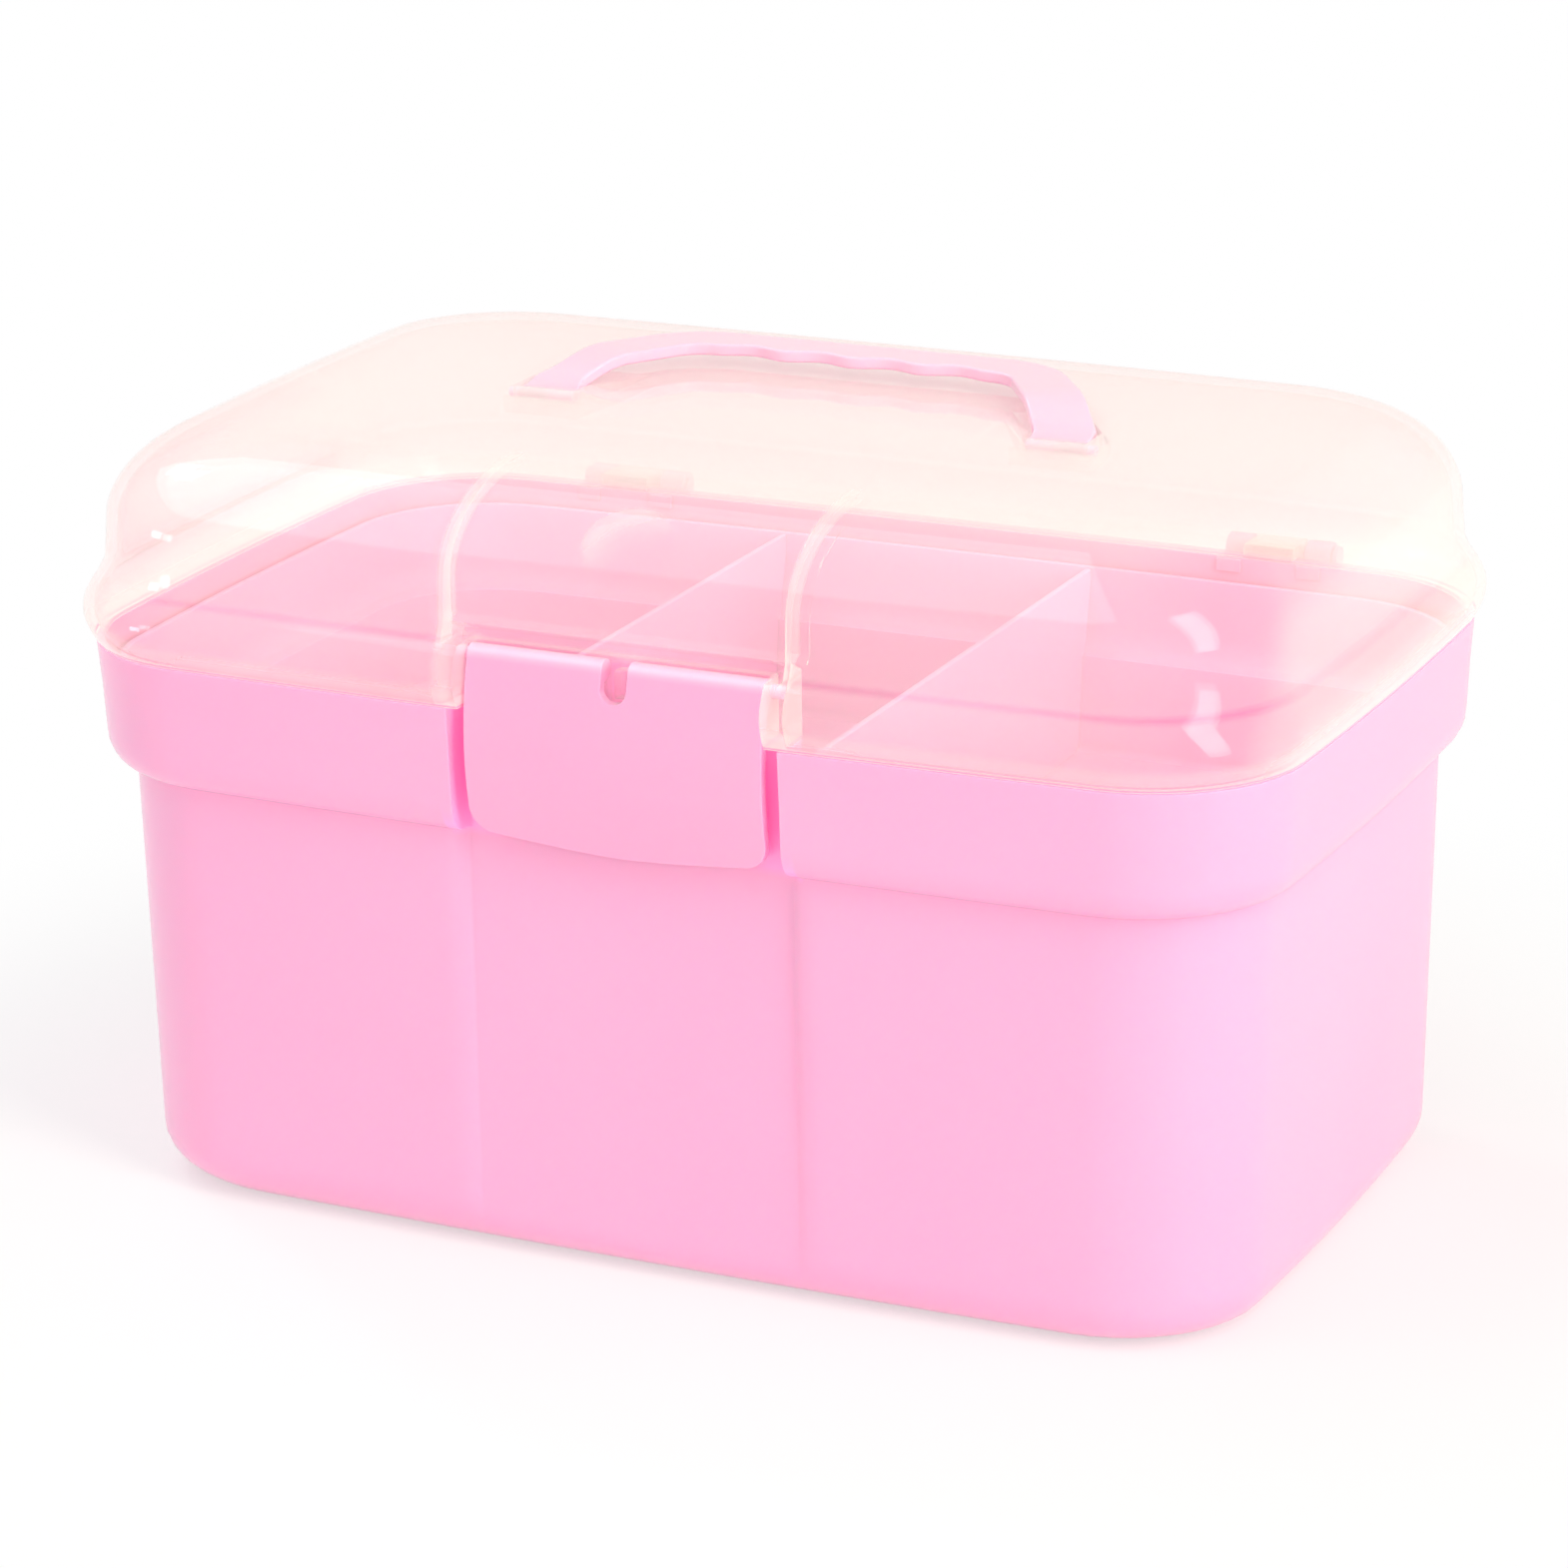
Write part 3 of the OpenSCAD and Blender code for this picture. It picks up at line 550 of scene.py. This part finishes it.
def latch_outline():
    """A block with the latch's front outline: round lower corners and a bowed lower edge."""
    edge_run = math.hypot(LATCH_HALF, LATCH_BOW_EASE) - LATCH_BOW_EASE
    height = LATCH_DROP + LATCH_ROLL + LATCH_TOP_SPARE
    outline = start(bpy.ops.mesh.primitive_plane_add, size=MM)
    rotate(-math.pi / 2, "X")
    stretch(2 * LATCH_HALF, 1, height)
    move(0, FRONT_Y - OUTLINE_AHEAD, LATCH_FOOT + height / 2)
    pick("VERT", lambda m: m.z < LATCH_FOOT + NEAR)
    bpy.ops.mesh.bevel(offset_type="ABSOLUTE", offset=LATCH_CORNER * MM,
                       segments=LATCH_CORNER_STEPS, affect="VERTICES")
    pick("EDGE", lambda m: abs(m.x) < NEAR and m.z < LATCH_FOOT + NEAR)
    bpy.ops.mesh.subdivide(number_cuts=LATCH_FOOT_CUTS)
    low = [middle(v) for v in cage().verts if middle(v).z < LATCH_FOOT + LATCH_CORNER]
    for p in pick_each(low):
        sag = LATCH_BOW * (math.hypot(p.x, LATCH_BOW_EASE) - LATCH_BOW_EASE) / edge_run
        move(0, 0, sag - LATCH_BOW)
    pick_all()
    extrude(0, 2 * OUTLINE_AHEAD)
    face_outward()
    return outline


def model_latch():
    """The bowed plate cut to its outline, with a thumb notch, a hook and two stub pins."""
    plate = latch_plate()
    cut(plate, latch_outline(), "INTERSECT")
    notch = block((-NOTCH_HALF, LATCH_FACE_Y - NOTCH_AHEAD, NOTCH_FOOT),
                  (NOTCH_HALF, PANEL_Y + NOTCH_BEHIND, LATCH_AXIS_Z + NOTCH_ABOVE))
    pick("EDGE", lambda m: m.z < LATCH_AXIS_Z and abs(m.x) > NEAR)
    bpy.ops.mesh.bevel(offset=NOTCH_ROUND * MM, segments=NOTCH_STEPS)
    cut(plate, notch, "DIFFERENCE")
    soften(plate, LATCH_EDGE)
    hook = block((-CATCH_HALF, LATCH_FACE_Y - HOOK_SINK, HOOK_LOW),
                 (CATCH_HALF, PANEL_Y - HOOK_CLEAR, HOOK_HIGH))
    soften(hook, BLOCK_EDGE)
    stubs = [pivot(side, LATCH_STUB_FROM, LATCH_STUB_TO, LATCH_AXIS_Y, LATCH_AXIS_Z, LATCH_STUB)
             for side in SIDES]
    weld(plate, [hook] + stubs)
    return plate


# Handle

def handle_stations():
    """Points on the middle line of the right half, from the middle of the grip to the foot."""
    lean = math.atan2(HANDLE_REACH - FOOT_STRAIGHT, GRIP_HALF - FOOT_X)
    setback = HANDLE_BEND * math.tan((math.pi - lean) / 2)
    bend_start = Vector((GRIP_HALF - setback * math.cos(lean),
                         HANDLE_REACH - setback * math.sin(lean)))
    centre = bend_start + HANDLE_BEND * Vector((-math.sin(lean), math.cos(lean)))
    line = [Vector((FINGER_PITCH / HOLLOW_STATIONS * i, HANDLE_REACH))
            for i in range(GRIP_STATIONS)]
    for i in range(BEND_STATIONS, -1, -1):
        turn = lean + (math.pi - lean) * i / BEND_STATIONS
        line.append(centre + HANDLE_BEND * Vector((math.sin(turn), -math.cos(turn))))
    leg_start = Vector((FOOT_X, FOOT_STRAIGHT))
    line += [bend_start + (leg_start - bend_start) * i / LEG_STATIONS
             for i in range(1, LEG_STATIONS + 1)]
    return line + [Vector((FOOT_X, FOOT_STRAIGHT / 3)), Vector((FOOT_X, 0))]


def handle_edges(line):
    """Inner and outer edge of the handle at each station, with the finger hollows."""
    edges = []
    for i, p in enumerate(line):
        if i == 0:
            run = Vector((1, 0))
        elif i == len(line) - 1:
            run = Vector((0, -1))
        else:
            run = (line[i + 1] - line[i - 1]).normalized()
        inward = Vector((run.y, -run.x))
        leg_share = 1 - min(1, p.y / HANDLE_REACH)
        half = (GRIP_WIDTH + (LEG_WIDTH - GRIP_WIDTH) * leg_share) / 2
        dent = 0
        if p.y > HANDLE_REACH - 2 * NEAR and p.x < 2 * FINGER_PITCH:
            dent = FINGER_DEPTH * (1 - math.cos(2 * math.pi * p.x / FINGER_PITCH)) / 2
        edges.append((p + inward * (half - dent), p - inward * half))
    return edges


def nudge(index, x=0.0, y=0.0, z=0.0):
    """Moves one vertex of the piece in hand."""
    mesh = cage()
    mesh.verts.ensure_lookup_table()
    bpy.ops.mesh.select_all(action="DESELECT")
    mesh.verts[index].select_set(True)
    bmesh.update_edit_mesh(bpy.context.object.data)
    move(x, y, z)


def model_handle():
    """A flat bail laid out station by station along its line, cranked, thickened and rounded."""
    line = handle_stations()
    bail = start(bpy.ops.mesh.primitive_grid_add, x_subdivisions=len(line) - 1, y_subdivisions=1,
                 size=START_GRID * MM)
    bpy.ops.mesh.select_mode(type="VERT")
    corners = [(v.index, middle(v)) for v in cage().verts]
    columns = sorted(corners, key=lambda corner: (round(corner[1].x, 2), corner[1].y))
    for p, (inner, outer), near, far in zip(line, handle_edges(line), columns[0::2], columns[1::2]):
        lift = HANDLE_CRANK * math.sin(math.pi / 2 * min(1, p.y / CRANK_RUN)) ** 2
        for (index, here), target in ((near, inner), (far, outer)):
            nudge(index, target.x - here.x, target.y + HANDLE_Y - here.y, lift)
    pick_all()
    extrude(0, 0, HANDLE_THICK)
    face_outward()
    move(0, 0, HANDLE_Z - HANDLE_THICK / 2)
    pick("FACE", lambda m: abs(m.x) < NEAR)
    bpy.ops.mesh.delete(type="FACE")
    take(bail)
    modify("MIRROR", use_axis=(True, False, False), use_mirror_merge=True,
           merge_threshold=2 * NEAR * MM)
    soften(bail, HANDLE_EDGE)
    pivots = [pivot(side, near, far, HANDLE_Y, HANDLE_Z, radius)
              for side in SIDES for near, far, radius in FOOT_BARS]
    weld(bail, pivots)
    return bail


# Tray

def divider(x):
    """A wall across the tray that follows the tray's back."""
    half = TRAY_WALL / 2
    wall = block((x - half, TRAY_NOTCH_Y + DIVIDER_SINK, TRAY_FLOOR + DIVIDER_FOOT),
                 (x + half, DIVIDER_BACK, TRAY_RIM - DIVIDER_DROP))
    pick_all()
    slice_across(Z, TRAY_LEDGE)
    pick("VERT", lambda m: m.y > 0 and m.z < TRAY_LEDGE + NEAR)
    move(0, -DIVIDER_LEDGE_RUN)
    pick("VERT", lambda m: m.y > 0 and m.z < TRAY_FLOOR + DIVIDER_FOOT + NEAR)
    move(0, -DIVIDER_FLOOR_RUN)
    soften(wall, DIVIDER_EDGE)
    return wall


def model_tray():
    """The tray's shell with its flange and front notch, and the two dividers."""
    shell = Shell(TRAY_RIM, TRAY_INSET)
    for rise, run in quarter(FLANGE_STEPS):
        shell.ring(TRAY_LEDGE + BAND_ROUND * (1 - rise),
                   TRAY_INSET + (BAND_STEP - BAND_LEAN) * (1 - run))
    shell.ring(TRAY_FLOOR + TRAY_BASE_RISE, TRAY_BODY_INSET)
    shell.ring(TRAY_FLOOR, TRAY_BASE_INSET)
    shell.close()
    slice_sides(TRAY_NOTCH_HALF, TRAY_NOTCH_HALF + TRAY_NOTCH_STEP)
    flatten_y(TRAY_NOTCH_Y, lambda m: abs(m.x) < TRAY_NOTCH_HALF + NEAR and m.y < TRAY_NOTCH_Y)
    shell.thicken(TRAY_WALL, TRAY_EDGE)
    weld(shell.piece, [divider(side * DIVIDER_X) for side in SIDES])
    return shell.piece


# Finishes: colours from 0 to 1, places in metres

class Socket:
    """A shader value that takes part in Python sums: an expression adds its Math nodes."""

    def __init__(self, finish, socket):
        self.finish, self.socket = finish, socket

    def math(self, operation, first, second):
        return self.finish.node("Math", {"operation": operation}, {0: first, 1: second})

    def __abs__(self):
        return self.finish.node("Math", {"operation": "ABSOLUTE"}, {0: self})

    def __add__(self, other):
        return self.math("ADD", self, other)

    def __radd__(self, other):
        return self.math("ADD", other, self)

    def __sub__(self, other):
        return self.math("SUBTRACT", self, other)

    def __rsub__(self, other):
        return self.math("SUBTRACT", other, self)

    def __mul__(self, other):
        return self.math("MULTIPLY", self, other)

    def __rmul__(self, other):
        return self.math("MULTIPLY", other, self)

    def __pow__(self, other):
        return self.math("POWER", self, other)


class Finish:
    """A material built node by node."""

    def __init__(self, name):
        self.material = bpy.data.materials.new(name)
        self.material.use_nodes = True
        self.tree = self.material.node_tree
        self.tree.nodes.clear()

    def node(self, kind, settings, values, out=0):
        made = self.tree.nodes.new("ShaderNode" + kind)
        for name, value in settings.items():
            setattr(made, name, value)
        for name, value in values.items():
            if isinstance(value, Socket):
                self.tree.links.new(value.socket, made.inputs[name])
            else:
                made.inputs[name].default_value = value
        return Socket(self, made.outputs[out])

    def place(self):
        """Where a point lies on the piece."""
        return self.node("TexCoord", {}, {}, 3)

    def axes(self):
        """Where a point lies on the piece: right, back and up."""
        return [self.node("SeparateXYZ", {}, {0: self.place()}, axis) for axis in (X, Y, Z)]

    def noise(self, scale, detail, stretch_by=(1, 1, 1)):
        where = self.node("Mapping", {}, {"Vector": self.place(), "Scale": stretch_by})
        return self.node("TexNoise", {}, {"Vector": where, "Scale": scale, "Detail": detail})

    def fade(self, value, none, full):
        """Rises from 0 to 1 as a value goes from one place to another."""
        return self.node("MapRange", {}, {0: value, 1: none, 2: full, 3: 0.0, 4: 1.0})

    def band(self, value, none, full, still_full, gone):
        """Rises from 0 to 1 and falls back again as a value passes four places."""
        return self.fade(value, none, full) * self.fade(value, gone, still_full)

    def mix(self, share, first, second):
        return self.node("Mix", {"data_type": "RGBA"}, {0: share, 6: first, 7: second}, 2)

    def show(self, shader):
        output = self.tree.nodes.new("ShaderNodeOutputMaterial")
        self.tree.links.new(shader.socket, output.inputs["Surface"])
        return self.material


def rgb(red, green, blue):
    """A colour given as it looks on screen, from 0 to 255."""
    def linear(c):
        c /= 255
        return c / 12.92 if c <= 0.04045 else ((c + 0.055) / 1.055) ** 2.4
    return (linear(red), linear(green), linear(blue), 1)


# Noise of the moulded plastics: scale, detail and stretch
CLOUD, FLOW, GRAIN, WAVE = (14, 2), (30, 4, (1, 1, 0.12)), (2600, 2), (55, 1)
FLOW_ROUGHNESS, GRAIN_BUMP, WAVE_BUMP = 0.12, 0.25, 0.6
# Paler pink of the painted highlight on the latch's rolled top edge
PAINTED_HIGHLIGHT_PINK = rgb(254, 200, 228)
# Painted glow of the tub: a faint red emission all over that lifts its shade, and a stronger one in the
# shaded slots beside the latch, both standing in for light through the thin walls
PAINTED_WALL_GLOW, PAINTED_SLOT_GLOW = (0.04, 0, 0.006, 1), (0.36, 0.02, 0.13, 1)

# Noise and colours of the clear plastic, and its share of milk and of gloss
LID_CLOUD, LID_WAVE = (20, 2), (40, 1)
# The seam pink is painted shade: the dark line of the seam gap, painted on the lid's foot
MILK_WHITE, MILK_CREAM, PAINTED_SEAM_SHADE_PINK = rgb(255, 246, 238), rgb(255, 243, 235), rgb(253, 150, 196)
HAZE, GRAZING_HAZE, GRAZING_POWER, CLOUD_HAZE, CLOUD_ROUGHNESS = 0.17, 0.5, 4.0, 0.02, 0.03
GLOSS, GRAZING_GLOSS, GLOSS_POWER = 0.04, 0.96, 5.0
DIMPLE_PLACE, STEP_X, CREASE_HEIGHT = (0, -0.0887, 0.1894), 0.0459, CREASE_Z * MM


def painted_slot_glow_share(finish):
    """Share of the tub in the shaded slots beside the latch that gets the strong painted glow, which
    stands in for light through the wall and lifts the slots' shade.
    """
    right, back, up = finish.axes()
    slot = finish.band(abs(right), 0.0300, 0.0370, 0.0470, 0.0478)
    deep = finish.band(back, -0.0992, -0.0975, -0.0895, -0.0885)
    return slot * deep * finish.fade(up, 0.1110, 0.1135)


def rolled_top_highlight(finish):
    """Share of the latch's surface on its rolled top edge, which gets a painted highlight: a paler pink
    for the light that falls on it from above.
    """
    return finish.fade(finish.axes()[Z], 0.1586, 0.1608)


def moulded_plastic(name, pale, deep, roughness, coat, glow=None, painted_highlight=None):
    """Satin moulded plastic: cloudy colour, faint flow marks, a fine grain and a polished skin."""
    finish = Finish(name)
    cloud, flow, grain, wave = [finish.noise(*kind) for kind in (CLOUD, FLOW, GRAIN, WAVE)]
    colour = finish.mix(cloud, pale, deep)
    # Painted highlight: paler pink where the piece is lit from above
    if painted_highlight:
        colour = finish.mix(painted_highlight(finish), colour, PAINTED_HIGHLIGHT_PINK)
    bump = finish.node("Bump", {}, {"Strength": 0.12, "Distance": 0.0004,
                                    "Height": grain * GRAIN_BUMP + wave * WAVE_BUMP})
    painted_glow_inputs = {}
    # Painted glow: an emission that lifts the shade, faint all over and stronger where the share says
    if glow:
        painted_glow_inputs = {"Emission Color": finish.mix(glow(finish), PAINTED_WALL_GLOW, PAINTED_SLOT_GLOW),
               "Emission Strength": 1.0}
    shader = finish.node("BsdfPrincipled", {}, {
        "Base Color": colour,
        "Roughness": roughness + (flow - 0.5) * FLOW_ROUGHNESS,
        "IOR": 1.48,
        "Subsurface Weight": 0.3,
        "Subsurface Radius": (1.0, 0.3, 0.5),
        "Subsurface Scale": 0.004,
        "Coat Weight": coat,
        "Coat Roughness": 0.16,
        "Normal": bump,
        **painted_glow_inputs,
    })
    return finish.show(shader)


def clear_lid_plastic():
    """Glossy clear plastic: see-through face on, milky along its surface and where it is thick; with
    painted highlights at the panel steps and the dimple, a painted dark crease line and painted seam
    shade at the foot.
    """
    finish = Finish("clear_lid_plastic")
    facing = finish.node("LayerWeight", {}, {"Blend": 0.5}, 1)
    cloud, wave = finish.noise(*LID_CLOUD), finish.noise(*LID_WAVE)
    bump = finish.node("Bump", {}, {"Strength": 0.04, "Distance": 0.0005, "Height": wave})
    right, back, up = finish.axes()
    across = abs(right)
    front = finish.fade(back, -0.054, -0.060)
    rim = finish.fade(up, 0.1525, 0.1500)
    # Painted highlights: pale milky lines along the dome panel's steps, for the light caught in their
    # edges
    painted_step_lines = finish.fade(abs(across - STEP_X), 0.0018, 0.0008) * front
    painted_step_lines = painted_step_lines * finish.fade(up, 0.1610, 0.1630)
    ear = finish.band(across, 0.0398, 0.0402, 0.0468, 0.0475) * finish.fade(up, 0.1630, 0.1622)
    end = finish.band(across, 0.120, 0.146, 0.155, 0.160)
    # Painted shade along the lid's foot, for the shaded gap of the seam
    foot = finish.band(up, 0.1465, 0.1467, 0.1470, 0.1473)
    # Painted shade: less milk in a thin line along the crease, so that it shows darker
    painted_crease_line = finish.fade(abs(up - CREASE_HEIGHT), 0.0010, 0.0004)
    off_dimple = finish.node("VectorMath", {"operation": "DISTANCE"},
                             {0: finish.place(), 1: DIMPLE_PLACE}, 1)
    dish = finish.fade(off_dimple, 0.0124, 0.0112)
    # Painted highlight: a paler crescent on the upper left of the dimple's rim
    dimple_highlight_ring = dish * finish.fade(off_dimple, 0.0, 0.0095)
    painted_dimple_highlight = dimple_highlight_ring * finish.fade(up - right * 0.5, 0.1855, 0.1945)
    nib = finish.fade(across, 0.0052, 0.0046) * front * finish.fade(up, 0.1602, 0.1598)
    ledge = finish.fade(across, 0.0414, 0.0404) * front
    bare = 1.0 - ledge * finish.band(up, 0.1606, 0.1612, 0.1668, 0.1676)
    haze = HAZE + GRAZING_HAZE * facing ** GRAZING_POWER * bare
    for more, where in ((0.1, rim), (0.22, painted_step_lines), (0.1, ear * front), (0.4, foot), (-0.08, end),
                        (-0.14, nib), (-0.08, painted_crease_line), (-0.01, dish), (0.15, painted_dimple_highlight)):
        haze = haze + more * where
    haze = haze + (cloud - 0.5) * CLOUD_HAZE
    mirrored = GLOSS + GRAZING_GLOSS * facing ** GLOSS_POWER * bare
    clear = finish.node("BsdfTransparent", {}, {"Color": (1.0, 0.985, 0.985, 1)})
    # The milk at the foot takes the painted seam shade pink
    milk = finish.node("BsdfPrincipled", {}, {
        "Base Color": finish.mix(foot, finish.mix(cloud, MILK_WHITE, MILK_CREAM), PAINTED_SEAM_SHADE_PINK),
        "Roughness": 0.5 + (cloud - 0.5) * CLOUD_ROUGHNESS,
        "Specular IOR Level": 0.0,
        "Normal": bump,
    })
    gloss = finish.node("BsdfGlossy", {},
                        {"Color": (1, 1, 1, 1), "Roughness": 0.06, "Normal": bump})
    body = finish.node("MixShader", {}, {0: haze, 1: clear, 2: milk})
    skin = finish.node("MixShader", {}, {0: mirrored, 1: body, 2: gloss})
    lamp_ray = finish.node("LightPath", {}, {}, 1)
    return finish.show(finish.node("MixShader", {}, {0: lamp_ray, 1: skin, 2: clear}))


def dress(piece, name, body, nodes, material):
    """Names a finished piece, gives it its finish and ties it to the frame."""
    piece.name = name
    piece.data.name = name
    piece.data.materials.clear()
    piece.data.materials.append(material)
    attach(piece, body)
    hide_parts(*nodes)


pink = moulded_plastic("pink_tub_plastic", rgb(255, 178, 216), rgb(255, 172, 212),
                       roughness=0.36, coat=0.6, glow=painted_slot_glow_share)
latch_pink = moulded_plastic("pink_latch_plastic", rgb(255, 174, 213), rgb(255, 168, 209),
                             roughness=0.34, coat=0.9, painted_highlight=rolled_top_highlight)
handle_pink = moulded_plastic("pink_handle_plastic", rgb(255, 208, 229), rgb(255, 203, 225),
                              roughness=0.3, coat=0.8)
tray_pink = moulded_plastic("pink_tray_plastic", rgb(255, 186, 226), rgb(255, 180, 222),
                            roughness=0.55, coat=0.1)
clear = clear_lid_plastic()

dress(model_tub(), "tub_shell", "tub", ["tub"], pink)
dress(model_lid(), "clear_lid", "lid", ["lid"], clear)
dress(model_latch(), "snap_latch", "latch", ["latch"], latch_pink)
dress(model_handle(), "carry_handle", "handle", ["handle"], handle_pink)
dress(model_tray(), "lift_out_tray", "tray", ["tray"], tray_pink)
for side in ("left", "right"):
    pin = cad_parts["hinge_pin_" + side]
    pin.data.materials.clear()
    pin.data.materials.append(latch_pink)


# Stage: floor, surround, lamps and camera

FLOOR_SIZE, FLOOR_GREY = 30, (0.94, 0.94, 0.94, 1)
GLOW_NEAR, GLOW_FAR, GLOW_LEAST = 0.17, 0.36, 0.55
WHITE = (1, 1, 1, 1)

# Surround: strength and colour for light, for gloss and for the camera
SURROUND = ((None, 0.43, WHITE), ("Is Glossy Ray", 0.95, (1, 0.96, 0.93, 1)),
            ("Is Camera Ray", 1.0, WHITE))

# Lamps: azimuth and elevation in degrees, distance, width and height in metres, brightness,
# colour, and whether gloss shows them
LAMP_WHITE, FILL_WARM = (1, 1, 1), (1, 0.98, 0.8)
KEY_CREAM, KEY_WARM = (1, 0.98, 0.86), (1, 0.98, 0.84)
LAMPS = (
    ("tall_right_softbox", 65, 32, 1.7, 0.46, 1.9, 3.2, KEY_CREAM, True),
    ("right_key", 65, 32, 1.7, 0.54, 1.9, 3.55, KEY_WARM, False),
    ("upper_left_softbox", -75, 60, 1.6, 2.4, 1.2, 1.1, LAMP_WHITE, True),
    ("front_fill", 18, 12, 2.0, 1.0, 1.2, 1.6, LAMP_WHITE, False),
    ("right_fill", 95, 15, 2.0, 1.6, 1.2, 1.35, FILL_WARM, False),
    ("glint_lamp", -52, 5, 2.0, 0.3, 0.3, 8, LAMP_WHITE, True),
    ("rear_left_lamp", -115, 40, 1.7, 0.2, 0.2, 14, LAMP_WHITE, True),
)

# Camera: degrees, millimetres, and the focal length in widths of the picture
CAMERA_AZIMUTH, CAMERA_ELEVATION, CAMERA_ROLL = 25.35, 18.32, -0.83
CAMERA_DISTANCE, CAMERA_ACROSS, CAMERA_UP = 1375.44, -1.19, 1.79
CAMERA_FOCAL, CAMERA_SENSOR = 5335.21 / 1570, 36
AIM = Vector((0, 0, 100))


def stage_floor():
    """A white floor that takes the box's shadow and runs out into plain white away from it."""
    put_down()
    bpy.ops.mesh.primitive_plane_add(size=FLOOR_SIZE)
    floor = bpy.context.object
    floor.name = "studio_floor"
    finish = Finish("white_floor")
    path = finish.node("LightPath", {}, {})
    seen = path
    for ray in ("Is Glossy Ray", "Is Transmission Ray"):
        other = Socket(finish, path.socket.node.outputs[ray])
        seen = seen.math("MAXIMUM", seen, other)
    reach = finish.node("VectorMath", {"operation": "LENGTH"}, {0: finish.place()}, 1)
    away = finish.node("MapRange", {"interpolation_type": "SMOOTHSTEP"},
                       {0: reach, 1: GLOW_NEAR, 2: GLOW_FAR, 3: GLOW_LEAST, 4: 1.0})
    matt = finish.node("BsdfDiffuse", {}, {"Color": FLOOR_GREY})
    glow = finish.node("Emission", {}, {"Color": WHITE, "Strength": 1.0})
    shader = finish.node("MixShader", {}, {0: seen * away, 1: matt, 2: glow})
    floor.data.materials.append(finish.show(shader))


def surround():
    """A white world that lights, mirrors and shows with a strength of its own each."""
    world = bpy.data.worlds.new("white_surround")
    bpy.context.scene.world = world
    world.use_nodes = True
    tree = world.node_tree
    tree.nodes.clear()
    path = tree.nodes.new("ShaderNodeLightPath")
    shown = None
    for ray, strength, colour in SURROUND:
        wall = tree.nodes.new("ShaderNodeBackground")
        wall.inputs["Strength"].default_value = strength
        wall.inputs["Color"].default_value = colour
        if shown:
            mix = tree.nodes.new("ShaderNodeMixShader")
            tree.links.new(path.outputs[ray], mix.inputs[0])
            tree.links.new(shown.outputs[0], mix.inputs[1])
            tree.links.new(wall.outputs[0], mix.inputs[2])
            shown = mix
        else:
            shown = wall
    output = tree.nodes.new("ShaderNodeOutputWorld")
    tree.links.new(shown.outputs[0], output.inputs["Surface"])


def towards(azimuth, elevation):
    """A direction away from the box. Azimuth 0 is in front and 90 on the right."""
    a, e = math.radians(azimuth), math.radians(elevation)
    return Vector((math.sin(a) * math.cos(e), -math.cos(a) * math.cos(e), math.sin(e)))


def softbox(name, azimuth, elevation, distance, width, height, brightness, colour, mirrored):
    """A rectangular lamp aimed at the middle of the box, as bright as so many white walls."""
    away = towards(azimuth, elevation)
    lamp = bpy.data.lights.new(name, "AREA")
    lamp.shape, lamp.size, lamp.size_y = "RECTANGLE", width, height
    lamp.energy, lamp.color = brightness * math.pi * width * height, colour
    holder = bpy.data.objects.new(name, lamp)
    holder.location = AIM * MM + away * distance
    holder.rotation_euler = away.to_track_quat("Z", "Y").to_euler()
    holder.visible_camera, holder.visible_glossy = False, mirrored
    bpy.context.scene.collection.objects.link(holder)


def photo_camera():
    """The camera that was fitted to the photograph."""
    azimuth, roll = math.radians(CAMERA_AZIMUTH), math.radians(CAMERA_ROLL)
    back = towards(CAMERA_AZIMUTH, CAMERA_ELEVATION)
    right = Vector((math.cos(azimuth), math.sin(azimuth), 0))
    up = back.cross(right)
    right, up = (math.cos(roll) * right + math.sin(roll) * up,
                 math.cos(roll) * up - math.sin(roll) * right)
    camera = bpy.data.cameras.new("photo_camera")
    camera.sensor_width, camera.sensor_fit = CAMERA_SENSOR, "HORIZONTAL"
    camera.lens = CAMERA_SENSOR * CAMERA_FOCAL
    holder = bpy.data.objects.new("photo_camera", camera)
    turn = Matrix((right, up, back)).transposed().to_4x4()
    place = AIM + back * CAMERA_DISTANCE + right * CAMERA_ACROSS + up * CAMERA_UP
    holder.matrix_world = Matrix.Translation(place * MM) @ turn
    bpy.context.scene.collection.objects.link(holder)
    bpy.context.scene.camera = holder


stage_floor()
surround()
for lamp in LAMPS:
    softbox(*lamp)
photo_camera()
bpy.context.scene.view_settings.view_transform = "Standard"
